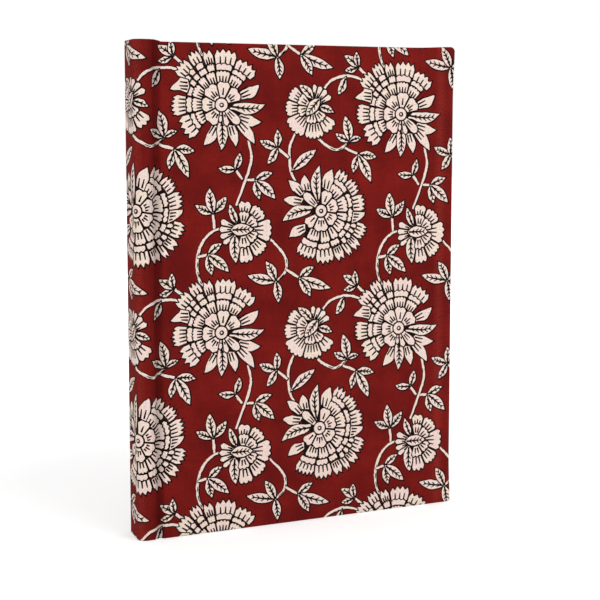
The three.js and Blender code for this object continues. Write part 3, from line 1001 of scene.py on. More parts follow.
@dataclass
class PrintSheet:
    """The flat cloth of one half, with its print and fold lines, cut into triangles by ink."""

    case: CaseShape
    side: Side
    outline: list[Point] = field(default_factory=list)
    sag_from: float = 13.0
    sag_to: float = 30.0
    sag_depth: float = 2.0
    spine_stop: float = 3.0
    round_steps: int = 7
    groove_step: float = 0.4
    past_edge: float = 0.3
    board_steps: int = 10
    turned_steps: int = 3
    corner_steps: int = 8
    cross_steps: int = 18
    mitre_gap: float = 0.2
    corner_ease: float = 0.06
    print_margin: float = 20.0
    verts: list[Point] = field(default_factory=list)
    edges: list[tuple[int, int]] = field(default_factory=list)
    faces: list[list[int]] = field(default_factory=list)
    inks: list[tuple[float, float, float]] = field(default_factory=list)
    rng: random.Random = field(default_factory=lambda: random.Random(PRINT_SEED))

    def __post_init__(self) -> None:
        """Lays down the cloth's outline, which is its first face, and the fold lines."""
        case = self.case
        length, reaches, _ = case.profile()
        self.end = float(length[-1])
        self.low = case.corner_radius
        self.high = case.height - case.corner_radius
        self.turned = case.turn_in - case.corner_radius
        arc = case.spine_radius * math.pi / 2
        groove_end = case.board_edge + self.past_edge
        near = np.arange(case.spine_radius + self.groove_step, groove_end, self.groove_step)
        stops = [0.0, self.spine_stop, case.outer - case.spine_radius]
        stops += [stops[-1] + arc * i / self.round_steps for i in range(1, self.round_steps + 1)]
        stops += [case.along(reach) for reach in near]
        first = stops[-1]
        last = self.end - case.corner_radius
        inner = last - case.turn_in + case.corner_radius
        stops += [first + (inner - first) * i / self.board_steps for i in range(1, self.board_steps + 1)]
        stops += [inner + (last - inner) * i / self.turned_steps for i in range(1, self.turned_steps + 1)]
        self.stops = stops
        self.levels = [case.levels(float(case.wrapped(np.interp(u, length, reaches)))) for u in stops]
        self.outline = self.outline or self.cut()
        self.face(self.outline, Ink.GROUND)
        self.fold_lines()

    def corner(self, radius: float) -> list[Point]:
        """A quarter turn round the tail's corner, from the tail to the fore-edge.

        Args:
            radius: Its radius about the point where both insets meet.

        Returns:
            The turn's points.
        """
        angles = np.linspace(-math.pi / 2, 0, self.corner_steps + 1)
        return [(self.stops[-1] + radius * math.cos(a), self.low + radius * math.sin(a)) for a in angles]

    def mirrored(self, lower: list[Point]) -> list[Point]:
        """A line of the tail's half, carried on through the head's half."""
        return lower + [(x, self.case.height - y) for x, y in reversed(lower)]

    def cut(self) -> list[Point]:
        """The half sheet's outline, with its corners cut for the mitres.

        Returns:
            The outline, counter-clockwise, from the spine's middle at the tail.
        """
        slit = self.case.mitre_slit
        last = self.stops[-1]
        sunk = self.levels[-1][-1]
        mitre = last - self.turned - slit
        tail = [(u, self.low - levels[-1] - self.turned)
                for u, levels in zip(self.stops, self.levels) if u < mitre - self.mitre_gap]
        tail += [(mitre, self.low - sunk - self.turned), (last - slit, self.low - sunk)]
        fore = [(last + sunk, self.low + slit), (last + sunk + self.turned, self.low + self.turned + slit)]
        return self.mirrored([*tail, *self.corner(sunk - self.corner_ease), *fore])

    def fold_lines(self) -> None:
        """Lines along which the flat sheet is cut so that it can bend."""
        for u, levels in zip(self.stops, self.levels):
            reach = levels[-1] + self.turned
            self.line([(u, self.low - reach), (u, self.high + reach)])
        for i, far in enumerate(self.levels[-1]):
            tail = [(u, self.low - levels[i]) for u, levels in zip(self.stops, self.levels)]
            self.line(self.mirrored(tail + self.corner(far)[1:]))
        fore_edge = self.stops[-1] + self.levels[-1][-1] + self.turned
        for i in range(self.cross_steps + 1):
            height = self.low + (self.high - self.low) * i / self.cross_steps
            self.line([(0, height), (fore_edge, height)])

    def sag(self, along: float) -> float:
        """How much lower the print lies over spine and groove, where the cloth was drawn down."""
        share = min(max((abs(along) - self.sag_from) / (self.sag_to - self.sag_from), 0.0), 1.0)
        return self.sag_depth * (1 - share * share * (3 - 2 * share))

    def line(self, points: list[Point]) -> None:
        """Adds a line that cuts the triangles.

        Args:
            points: The line's points.
        """
        start = len(self.verts)
        self.verts += points
        self.edges += [(start + i, start + i + 1) for i in range(len(points) - 1)]

    def face(self, outline: list[Point], ink: Ink, tint: float = 0.5) -> None:
        """Adds a patch of ink, over what lies there already.

        Args:
            outline: Its outline in the half sheet.
            ink: Its ink.
            tint: How warm its cream is, 0 to 1.
        """
        outline = wound(outline)
        start = len(self.verts)
        self.verts += outline
        self.faces.append(list(range(start, start + len(outline))))
        self.inks.append((*ink.value, tint))

    def reaches(self, outline: list[Point]) -> bool:
        """Whether an outline comes near this half sheet.

        Args:
            outline: The outline.

        Returns:
            True where some of it may show.
        """
        far = self.print_margin
        xs, ys = zip(*outline)
        across = max(xs) > 0 and min(xs) < self.end + far
        return across and max(ys) > -far and min(ys) < self.case.height + far

    def triangles(self) -> tuple[np.ndarray, list, list]:
        """Cuts the sheet into triangles.

        Returns:
            Points, triangles and the ink of each triangle.
        """
        points, _, tris, _, _, owners = delaunay_2d_cdt(
            [Vector(v) for v in self.verts], self.edges, self.faces, 0, 1e-5, True)
        places = np.array([tuple(p) for p in points])
        spilt = self.spilt(places, tris, owners)
        kept, inks = [], []
        for tri, owner in zip(tris, owners):
            if 0 in owner:
                kept.append(tri)
                inks.append(self.inks[max(face for face in owner if face not in spilt)])
        used, corners = np.unique(np.array(kept), return_inverse=True)
        return places[used], corners.reshape(-1, 3).tolist(), inks

    def spilt(self, places: np.ndarray, tris: list, owners: list) -> set[int]:
        """Patches that cross themselves, which would ink the whole sheet.

        Args:
            places: Points of the triangles.
            tris: The triangles.
            owners: The patches that lie on each triangle.

        Returns:
            The patches that cover more than twice their own box.
        """
        corners = places[np.array(tris)]
        sides = corners[:, 1] - corners[:, 0], corners[:, 2] - corners[:, 0]
        areas = np.abs(sides[0][:, 0] * sides[1][:, 1] - sides[0][:, 1] * sides[1][:, 0]) / 2
        covered: dict[int, float] = {}
        for area, owner in zip(areas.tolist(), owners):
            for face in owner:
                covered[face] = covered.get(face, 0.0) + area
        found = set()
        for face, area in covered.items():
            box = np.ptp(np.array([self.verts[i] for i in self.faces[face]]), axis=0)
            if face and area > 2 * box[0] * box[1]:
                found.add(face)
        log.info("%d patches cross themselves and are left out", len(found))
        return found


@dataclass
class Stamp:
    """One block's mark on a sheet: shapes about a centre, turned and scaled, a little uneven."""

    sheet: PrintSheet
    centre: Point
    turn: float = 0.0
    size: float = 1.0
    line_width: float = 0.57
    waver: float = 0.14
    waver_share: float = 0.28
    slip: Point = (-0.1, 0.08)

    def put(self, points: list[Point], slip: bool) -> list[Point]:
        """Takes points from the block to the half sheet.

        Args:
            points: Points about the block's centre.
            slip: Whether they are of the ink that was printed a little beside the others.

        Returns:
            The points on the sheet.
        """
        c, s = math.cos(math.radians(self.turn)), math.sin(math.radians(self.turn))
        sign = -self.sheet.side.value
        slip_x, slip_y = self.slip if slip else (0.0, 0.0)
        out = []
        for x, y in points:
            px = self.centre[0] + self.size * (c * x - s * y) + slip_x
            py = self.centre[1] + self.size * (s * x + c * y) + slip_y
            out.append((sign * px, py - self.sheet.sag(px)))
        return out

    def ground(self, outline: list[Point]) -> None:
        """Prints a black patch, which shows between the petals that are printed over it."""
        if self.sheet.reaches(self.put(outline, False)):
            self.sheet.face(self.put(outline, False), Ink.BLACK)

    def uneven(self, outline: list[Point]) -> list[Point]:
        """The outline as a hand would cut it, moved less where its points lie close together.

        Args:
            outline: The outline.

        Returns:
            The uneven outline.
        """
        rng = self.sheet.rng
        out = []
        for here, before, after in zip(outline, outline[-1:] + outline[:-1], outline[1:] + outline[:1]):
            near = min(math.dist(here, before), math.dist(here, after))
            reach = min(self.waver, self.waver_share * near)
            out.append((here[0] + rng.uniform(-reach, reach), here[1] + rng.uniform(-reach, reach)))
        return out

    def layer(self, shapes: list[Shape]) -> None:
        """Prints shapes that lie side by side: their black first, then their cream and strokes.

        Args:
            shapes: The shapes.
        """
        ready = []
        for shape in shapes:
            outline = self.uneven(wound(shape.outline))
            tint = self.sheet.rng.random()
            if self.sheet.reaches(self.put(outline, False)):
                ready.append((shape, outline, tint))
        for _, outline, _ in ready:
            self.sheet.face(self.put(grown(outline, self.line_width), False), Ink.BLACK)
        for _, outline, tint in ready:
            self.sheet.face(self.put(outline, True), Ink.CREAM, tint)
        for shape, _, _ in ready:
            for mark in shape.strokes:
                self.sheet.face(self.put(mark, False), Ink.BLACK)


@dataclass(frozen=True)
class RoundFlower:
    """A large round flower, full of rings on one side and open to flames on the other.

    Angles are in degrees about its centre. A ring's rows give a petal's first and last angle, its inner
    and outer radius and, where they differ, its teeth and their depth. Rows of flames and leaves are what
    flame() and leaf() take. The inner petals and the slips all start at the heart.
    """

    filled: tuple
    outer: tuple
    blocks: tuple
    beads: tuple
    flames: tuple
    side_petal: tuple
    side_marks: tuple
    middle: tuple
    leaves: tuple
    inner: tuple
    slips: tuple
    tongue: float
    tongue_line: tuple = ((-15, 3.3), (-13, 7), (-11, 9.4), (-6, 10.9), (0, 11.4),
                          (6, 10.9), (11, 9.4), (13, 7), (15, 3.3))
    tongue_marks: tuple = (-6, 5)
    heart: float = 3.3
    rings: tuple = ((3.2, Ink.BLACK), (2.6, Ink.CREAM), (1.1, Ink.BLACK), (0.45, Ink.CREAM))

    def draw(self, stamp: Stamp) -> None:
        """Prints the flower, from its outer ring inwards.

        Args:
            stamp: Where it is printed.
        """
        heart = self.heart
        stamp.ground([polar(angle, radius) for angle, radius in self.filled])
        stamp.layer([fan(*row, marks=0.5, crown=0.9) for row in self.outer])
        stamp.layer([fan(*row, teeth=3, tooth=0.6, marks=0.0, crown=0.25) for row in self.blocks])
        stamp.layer([fan(*row, teeth=1, tooth=0.6, marks=0.0, gap=0.9) for row in self.beads])
        stamp.layer([flame(*row) for row in self.flames])
        stamp.layer([Shape(list(self.side_petal), [stroke(*ends) for ends in self.side_marks])])
        stamp.layer([fan(*row, tooth=0.6, marks=0.55, crown=0.3) for row in self.middle])
        for row in self.leaves:
            stamp.layer([leaf(*row)])
        stamp.layer([fan(a0, a1, heart, r1, teeth=2, tooth=0.6, marks=0.62, crown=0.7)
                     for a0, a1, r1 in self.inner])
        tongue = [polar(self.tongue + angle, radius) for angle, radius in self.tongue_line]
        marks = [stroke(polar(self.tongue + angle, 4.2), polar(self.tongue + angle, 7.6), 0.7)
                 for angle in self.tongue_marks]
        slips = [fan(a0, a1, heart, r1, teeth=1, tooth=tooth) for a0, a1, r1, tooth in self.slips]
        stamp.layer([Shape(tongue, marks), *slips])
        sheet = stamp.sheet
        for radius, ink in self.rings:
            sheet.face(stamp.put(disc(radius * sheet.rng.uniform(0.97, 1.03)), ink is Ink.CREAM), ink)


class Motif:
    """The shapes of the print's flowers and leaves, in millimetres about each flower's centre."""

    HANGING = RoundFlower(
        filled=((-20, 9.0), (0, 8.0), (20, 9.0), (42, 10.5), (44, 16.6), (72, 17.6), (112, 17.8),
                (115, 20.0), (147, 19.6), (152, 17.0), (168, 16.4), (192, 16.2), (197, 15.0),
                (226, 14.4), (228, 9.4), (258, 8.6), (270, 8.0), (290, 9.5), (310, 11.5), (325, 11.0)),
        outer=((39, 70, 16.9, 21.9, 4, 1.5), (70.5, 98.5, 17.6, 23.8, 4, 1.7),
               (100, 113, 18.2, 24.0, 2, 1.9), (114, 128, 20.4, 26.0, 3, 1.9),
               (129, 148, 20.0, 25.7, 4, 1.7), (167, 193, 16.3, 22.4, 5, 1.4),
               (195, 229, 15.3, 20.8, 4, 1.8)),
        blocks=((44, 71, 14.4, 16.5), (72, 99, 15.0, 17.6), (100, 113, 15.0, 17.8),
                (114, 128, 14.9, 17.3), (129, 139, 14.9, 17.3), (140, 149, 14.4, 17.0),
                (150, 166, 14.1, 16.6), (167, 193, 13.6, 15.9), (195, 226, 12.9, 14.9)),
        beads=((115, 127, 17.8, 20.1), (129, 138, 17.8, 19.9), (139, 148, 17.5, 19.7)),
        flames=((28, 8.6, 19.2, 4.6, -1, 3, -1.3), (-32, 8.4, 19.4, 4.6, 10, 3, -1.0),
                (-47, 9.0, 22.3, 4.4, -1, 3, 0.9), (-66, 8.8, 18.8, 3.9, -4, 2, 0.5),
                (-106, 8.4, 18.9, 4.3, -9, 2, 0.9)),
        side_petal=((-15.4, 5.2), (-14.5, 7.6), (-14.9, 10.5), (-18.3, 11.3), (-19.2, 10.3),
                    (-20.5, 9.2), (-21.7, 8.5), (-22.8, 7.1), (-21.2, 6.6), (-18.6, 6.2)),
        side_marks=(((-15.2, 9.3), (-18.6, 9.8)), ((-15.0, 7.9), (-18.9, 8.1)),
                    ((-15.3, 6.5), (-18.3, 6.9))),
        middle=((44, 72, 9.6, 13.9, 4), (73, 101, 10.0, 14.5, 4), (102, 121, 9.6, 14.5, 3),
                (122, 139, 9.2, 14.4, 3), (140, 165, 9.3, 13.9, 4), (166, 194, 9.0, 13.3, 4),
                (195, 225, 9.2, 12.5, 4)),
        leaves=((polar(-92, 5.0), polar(-90.5, 19.3), 4.7, 0.5, 5, 1.4),
                (polar(-9, 3.4), polar(0.5, 19.8), 4.9, -1.5, 5, 1.6, 0.5)),
        inner=((11, 60, 9.7), (62, 104, 9.9), (105, 152, 9.8), (154, 206, 8.9), (207, 258, 9.5)),
        slips=((-84, -63, 9.2, 1.2), (-104, -86, 7.4, 1.0)),
        tongue=-45,
    )
    STANDING = RoundFlower(
        filled=((-150, 8.6), (-126, 13.6), (-127, 16.4), (-97, 17.2), (-75, 17.4), (-59, 18.0),
                (-56, 18.8), (-22, 19.0), (-21, 15.6), (20, 15.8), (24, 16.4), (65, 16.2), (66, 13.4),
                (70, 10.6), (86, 10.4), (112, 9.6), (126, 11.2), (145, 11.4), (160, 9.4), (170, 5.4),
                (198, 4.8), (203, 8.0)),
        outer=((22, 46, 16.4, 21.2, 4, 1.8), (46.6, 67, 16.0, 20.9, 3, 1.9),
               (-2, 21, 15.9, 21.9, 4, 1.6), (-36, -17, 18.9, 24.4, 4, 1.7),
               (-49, -36.6, 19.0, 25.4, 2, 1.9), (-58, -49.6, 18.6, 25.4, 2, 1.9),
               (-72, -58.6, 18.2, 24.6, 2, 1.9), (-97, -72.6, 17.6, 23.9, 4, 1.7),
               (-126, -97.6, 17.2, 22.2, 5, 1.6)),
        blocks=((34, 66, 13.8, 16.0), (4, 31, 13.6, 15.6), (-22, 3.6, 13.5, 15.5),
                (-37, -23, 13.9, 16.2), (-54, -38, 13.9, 16.0), (-73, -56, 14.8, 17.3),
                (-96, -74, 15.0, 17.4), (-127, -97, 14.4, 16.9)),
        beads=((-28, -20, 16.3, 18.8), (-36, -28.6, 16.5, 18.9), (-45, -36.6, 16.5, 18.9),
               (-55, -46, 16.5, 18.9)),
        flames=((73.4, 9.0, 19.1, 5.2, 0.5, 3, 0.6), (127.3, 11.0, 17.9, 4.0, -10.4, 2, 0.4),
                (142.5, 11.2, 20.8, 4.2, -4.2, 3, -0.3), (154, 9.6, 18.7, 4.2, 8.5, 2, 0.1),
                (226.9, 10.2, 18.9, 4.6, -10.5, 3, -0.9)),
        side_petal=((15.9, -0.9), (18.6, -1.0), (21.7, -1.3), (21.3, -2.7), (19.9, -4.1), (17.8, -5.2),
                    (15.2, -5.7), (15.6, -3.2)),
        side_marks=(((16.0, -1.8), (18.8, -2.0)), ((15.9, -3.2), (18.4, -3.3)),
                    ((15.6, -4.6), (17.2, -4.5))),
        middle=((33, 66, 8.6, 13.4, 4), (-5, 32, 8.0, 13.2, 4), (-24, -6, 8.1, 13.2, 2),
                (-51, -25, 8.2, 13.4, 3), (-69, -52, 9.0, 14.3, 2), (-92, -70, 9.0, 14.4, 3),
                (-123, -93, 9.0, 13.8, 4)),
        leaves=(((-1.5, 3.8), (-0.7, 20.2), 4.6, 1.5, 5, 1.4),
                ((-3.4, 0.8), (-18.4, -4.1), 5.2, -1.7, 5, 1.3, 0.6)),
        inner=((47, 89, 9.4), (-9, 46, 8.5), (-62, -11, 8.6), (-116, -64, 9.3), (-158, -118, 9.4)),
        slips=(),
        tongue=135.5,
    )

    ALMOND_OUTER = ((67, 100, 7.9, 12.4, 2, 0.9), (23, 65, 8.0, 12.4, 4, 0.8), (-28, 21, 5.6, 13.8, 4, 1.0),
                    (-65, -30, 8.2, 14.0, 4, 0.9), (-97, -67, 8.2, 14.8, 3, 1.1))
    ALMOND_LEAVES = (((-2.6, 2.8), (-5.7, 11.0), 3.2, 0.3, 3), ((-3.4, -2.4), (-3.0, -14.4), 4.5, -0.5, 4))
    TURNED_OUTER = ((66, 101, 8.0, 14.2, 3, 1.1), (22, 65, 8.0, 14.7, 5, 1.0), (-28, 21, 5.8, 15.0, 5, 1.0),
                    (-64, -29, 7.6, 13.6, 4, 0.9), (-100, -65, 7.4, 13.2, 4, 0.9))
    TURNED_LEAVES = (((-2.6, 2.8), (-5.0, 9.6), 3.4, 0.3, 3), ((-3.0, -2.6), (-3.6, -11.6), 4.0, -0.5, 3))

    @staticmethod
    def almond_flower(stamp: Stamp, outer: tuple, leaves: tuple) -> None:
        """Prints the small flower about an almond-shaped heart.

        Args:
            stamp: Where it is printed.
            outer: The petals of its outer ring.
            leaves: The two leaves beside its heart.
        """
        stamp.ground([polar(a, 8.4 if abs(a) < 101 else 6.4) for a in range(-170, 190, 20)])
        stamp.layer([fan(*row, marks=0.52, crown=0.6) for row in outer])
        narrow = ((149, 168), (169, 187), (188, 205), (206, 222))
        stamp.layer([fan(*ends, 4.4, 10.5, teeth=1, tooth=0.9, marks=0.6, gap=0.7) for ends in narrow])
        stamp.layer([leaf(*row) for row in leaves])
        inner = ((8, 59, 7.6), (60, 104, 7.9), (-57, -9, 7.6), (-106, -58, 8.0))
        stamp.layer([fan(a0, a1, 2.2, r1, teeth=3, tooth=0.6, marks=0.72, crown=0.4)
                     for a0, a1, r1 in inner])
        heart = leaf((-5.1, 0.0), (4.9, 0.0), width=4.9, ticks=4)
        stamp.ground(grown(wound(heart.outline), 0.65))
        stamp.layer([heart])

    @staticmethod
    def sprig(stamp: Stamp, base: Point, tips: list[Point]) -> None:
        """Prints leaves that share a stalk's end.

        Args:
            stamp: Where they are printed.
            base: The stalk's end.
            tips: The leaves' points.
        """
        for i, tip in enumerate(tips):
            length = math.dist(base, tip)
            width = min(0.36 * length + 0.5, 4.5)
            ticks = 3 if length < 8.5 else 4
            stamp.layer([leaf(base, tip, width, bend=0.35 * (-1) ** i, ticks=ticks, late=1.3)])

    @staticmethod
    def stem(stamp: Stamp, points: list[Point], width: float = 1.14) -> None:
        """Prints a stem through points, narrowing a little at both ends, with a broken line on a long one.

        Args:
            stamp: Where it is printed.
            points: Points of its middle.
            width: Its greatest width.
        """
        stamp.line_width = 0.38
        stamp.slip = (-0.2, 0.12)
        line = catmull_rom(points, 6)
        count = len(line)
        widths = [width * (0.72 + 0.28 * math.sin(math.pi * i / (count - 1))) for i in range(count)]
        marks = [strip(line[i:i + 4], [0.34, 0.44, 0.4, 0.3]) for i in range(count // 2, count - 4, 5)]
        stamp.layer([Shape(strip(line, widths), marks if len(points) > 5 else [])])


@dataclass
class Trellis:
    """The repeat of the print: flowers, stems and sprigs about each round flower, in millimetres."""

    case: CaseShape
    right: Point = (86.1, -3.7)
    down: Point = (-0.5, -98.6)
    first: Point = (38.8, 187.5)
    standing: Point = (46.6, -46.8)
    small: Point = (9.2, -53.9)
    small_turned: Point = (42.5, -0.8)
    turn: float = 230.0
    turned_size: float = 0.95
    columns: range = range(-4, 4)
    rows: range = range(-2, 4)
    slack: float = 0.25

    STEMS = (
        ((12.3, -15.3), (13.6, -21.5), (13.2, -25.7), (11.0, -32.3), (6.5, -43.4)),
        ((9.5, -32.2), (6.2, -27.7)),
        ((11.7, -32.4), (15.5, -32.5)),
        ((-3.5, -54.0), (-3.8, -49.7), (-4.2, -46.4)),
        ((1.6, -53.0), (-3.5, -54.0), (-7.3, -56.8), (-10.0, -61.0), (-11.3, -65.8), (-11.5, -70.6),
         (-10.3, -75.6), (-8.7, -77.7)),
        ((-11.2, -65.2), (-6.6, -64.3)),
        ((21.6, -57.9), (26.0, -62.2), (28.9, -65.9), (30.1, -69.6), (29.2, -73.7), (25.6, -77.0)),
        ((29.9, -72.4), (35.7, -76.1)),
        ((44.3, -12.2), (45.5, -14.6), (48.4, -17.2), (53.6, -19.7), (57.4, -18.5), (60.5, -15.9)),
        ((58.3, -18.9), (64.4, -21.6)),
        ((34.1, -12.4), (31.7, -18.2), (31.5, -23.5), (32.3, -29.5), (34.4, -33.6)),
        ((31.1, -23.0), (25.7, -18.5)),
        ((48.3, 7.6), (51.8, 11.1), (57.7, 13.0), (62.4, 12.8), (66.6, 11.4)),
        ((-21.6, 21.1), (-16.9, 16.8)),
    )
    SPRIGS = (
        ((6.2, -27.7), ((-1.4, -27.1), (8.2, -20.6))),
        ((15.5, -32.5), ((23.2, -29.4), (17.3, -40.8), (24.6, -40.7))),
        ((-4.2, -46.4), ((-12.0, -42.9), (1.9, -39.5), (-5.7, -35.7))),
        ((-6.6, -64.3), ((-0.4, -59.7), (-4.8, -73.0), (2.9, -72.1))),
        ((24.9, -77.3), ((11.6, -74.3), (20.2, -68.4), (26.0, -86.9))),
        ((36.1, -76.4), ((43.0, -71.8), (51.3, -81.8), (41.3, -84.9))),
        ((60.5, -15.9), ((53.6, -12.5), (58.1, -4.7), (66.0, -14.4))),
        ((64.9, -22.0), ((73.7, -23.2), (62.4, -29.9), (71.0, -34.3))),
        ((25.7, -18.5), ((17.5, -15.2), (25.7, -10.7), (21.2, -25.4))),
        ((32.8, -28.5), ((44.1, -19.7),)),
        ((58.4, 12.4), ((54.8, 4.9),)),
        ((-21.6, 21.0), ((-28.0, 19.3), (-28.2, 25.8), (-22.3, 27.6))),
    )

    def draw(self, sheet: PrintSheet) -> None:
        """Prints the repeat all over a half sheet, stems first and the large flowers last.

        Args:
            sheet: The half sheet.
        """
        start = self.case.along(self.first[0]), self.first[1]
        origins = []
        for i in self.columns:
            for j in self.rows:
                x = start[0] + i * self.right[0] + j * self.down[0]
                y = start[1] + i * self.right[1] + j * self.down[1]
                dx, dy = (sheet.rng.uniform(-self.slack, self.slack) for _ in range(2))
                origins.append((x + dx, y + dy))

        def stamp(origin: Point, centre: Point = (0.0, 0.0), turn: float = 0.0, size: float = 1.0) -> Stamp:
            """A stamp about a point of the repeat."""
            return Stamp(sheet, (origin[0] + centre[0], origin[1] + centre[1]), turn, size)

        for origin in origins:
            for points in self.STEMS:
                Motif.stem(stamp(origin), list(points))
        for origin in origins:
            for base, tips in self.SPRIGS:
                Motif.sprig(stamp(origin), base, list(tips))
        for origin in origins:
            turned = stamp(origin, self.small_turned, self.turn, self.turned_size)
            Motif.almond_flower(stamp(origin, self.small), Motif.ALMOND_OUTER, Motif.ALMOND_LEAVES)
            Motif.almond_flower(turned, Motif.TURNED_OUTER, Motif.TURNED_LEAVES)
        for origin in origins:
            Motif.HANGING.draw(stamp(origin))
            Motif.STANDING.draw(stamp(origin, self.standing))


# Pieces


def linked(name: str, data: bpy.types.ID | None) -> bpy.types.Object:
    """A new object of the scene.

    Args:
        name: Its name.
        data: Its mesh, lamp or camera.

    Returns:
        The object.
    """
    item = bpy.data.objects.new(name, data)
    bpy.context.collection.objects.link(item)
    return item


def piece_from(name: str, points: np.ndarray, faces: list, material: bpy.types.Material) -> bpy.types.Object:
    """Makes a piece from points in millimetres.

    Args:
        name: The piece's name.
        points: Its points, in the frame's axes.
        faces: Its faces, outwards.
        material: Its finish.

    Returns:
        The piece.
    """
    mesh = bpy.data.meshes.new(name)
    mesh.from_pydata((points * MM).tolist(), [], faces)
    mesh.materials.append(material)
    mesh.update()
    piece = linked(name, mesh)
    log.info("%s: %d faces", name, len(faces))
    return piece


@dataclass
class PrintedCase:
    """The case's cloth, in two halves that meet in the middle of the spine."""

    case: CaseShape = field(default_factory=CaseShape)
    finish: PrintedCotton = field(default_factory=PrintedCotton)
    bend_from: Point = (3.0, 8.24)
    bend_to: Point = (5.0, 8.24)
    inner_uv_scale: float = 0.36
    inner_uv_place: Point = (0.73, 0.0)

    def build(self) -> None:
        """Builds both halves and hides the part's cloth that they replace."""
        material = self.finish.make()
        for side in Side:
            sheet = PrintSheet(self.case, side)
            piece = self.half(sheet, material)
            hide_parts(f"{side.label}_cover_cloth", f"{side.label}_joint_cloth", "spine_cloth")
            self.case.hinge(piece, side, self.bend_from, self.bend_to)
            area = signed_area(sheet.outline) * MM ** 2

    def half(self, sheet: PrintSheet, material: bpy.types.Material) -> bpy.types.Object:
        """Builds one half: the printed face, the bare inner face and the cut edge.

        Args:
            sheet: The half's flat cloth.
            material: The cloth's finish.

        Returns:
            The piece.
        """
        side = sheet.side
        Trellis(self.case).draw(sheet)
        points, tris, inks = sheet.triangles()
        rim = self.rim(tris)
        plain = PrintSheet(self.case, side, [tuple(points[i]) for i in rim])
        inner_points, inner_tris, _ = plain.triangles()
        inner_rim = self.rim(inner_tris)
        if len(rim) != len(inner_rim):
            raise ValueError(f"the cut edge has {len(rim)} points outside and {len(inner_rim)} inside")

        count = len(points)
        first = int(np.argmin([math.dist(inner_points[i], points[rim[0]]) for i in inner_rim]))
        under = [count + inner_rim[(first + i) % len(rim)] for i in range(len(rim))]
        faces = [tuple(t) for t in tris]
        faces += [tuple(count + i for i in reversed(t)) for t in inner_tris]
        marks = list(inks) + [(0.0, 0.0, 0.5)] * (len(inner_tris) + len(rim))
        sharp = set()
        for a, b, c, d in zip(rim, rim[1:] + rim[:1], under[1:] + under[:1], under):
            faces.append((b, a, d, c))
            sharp.update([frozenset((a, b)), frozenset((c, d))])
        flat = np.vstack([points, inner_points])
        case = self.case
        placed = np.vstack([case.place(points, 0.0), case.place(inner_points, case.cloth)])
        world = placed * (1.0, side.value, 1.0) - (case.width / 2, 0.0, 0.0)
        if side is Side.BACK:
            faces = [face[::-1] for face in faces]
        piece = piece_from(f"{side.label}_cloth", world, faces, material)
        self.mark(piece.data, flat, count, marks, sharp)
        return piece

    @staticmethod
    def rim(tris: list) -> list[int]:
        """The points along the sheet's cut edge.

        Args:
            tris: The sheet's triangles.

        Returns:
            The points, in the order in which the triangles pass them.
        """
        edges = {(a, b) for tri in tris for a, b in zip(tri, (*tri[1:], tri[0]))}
        following = {a: b for a, b in edges if (b, a) not in edges}
        loop = [min(following)]
        while following[loop[-1]] != loop[0]:
            loop.append(following[loop[-1]])
        return loop

    def mark(self, mesh: bpy.types.Mesh, flat: np.ndarray, count: int, marks: list, sharp: set) -> None:
        """Adds the cloth's own coordinates, its print and its shading.

        Args:
            mesh: The half's mesh.
            flat: Its points on the flat cloth.
            count: How many of them are on the printed face.
            marks: The ink of each face.
            sharp: Edges between the faces and the cut edge.
        """
        corner = np.empty(len(mesh.loops), dtype=np.int64)
        mesh.loops.foreach_get("vertex_index", corner)
        sizes = np.empty(len(mesh.polygons), dtype=np.int64)
        mesh.polygons.foreach_get("loop_total", sizes)
        owner = np.repeat(np.arange(len(sizes)), sizes)
        ink = np.array(marks)[owner]
        colors = np.column_stack([ink, np.ones(len(ink))]).astype(np.float32)
        attribute = mesh.color_attributes.new(name=PRINT_ATTRIBUTE, type="FLOAT_COLOR", domain="CORNER")
        attribute.data.foreach_set("color", colors.ravel())
        uv = (flat[corner] + UV_MARGIN) / UV_SPAN
        on_face = (corner < count) & (sizes[owner] == 3)
        inner = uv * self.inner_uv_scale + self.inner_uv_place
        layer = mesh.uv_layers.new(name=CLOTH_UV)
        layer.data.foreach_set("uv", np.where(on_face[:, None], uv, inner).astype(np.float32).ravel())
        mesh.polygons.foreach_set("use_smooth", sizes == 3)
        mesh.update()
        flags = [frozenset(edge.vertices) in sharp for edge in mesh.edges]
        edge_mark = mesh.attributes.new("sharp_edge", "BOOLEAN", "EDGE")
        edge_mark.data.foreach_set("value", flags)


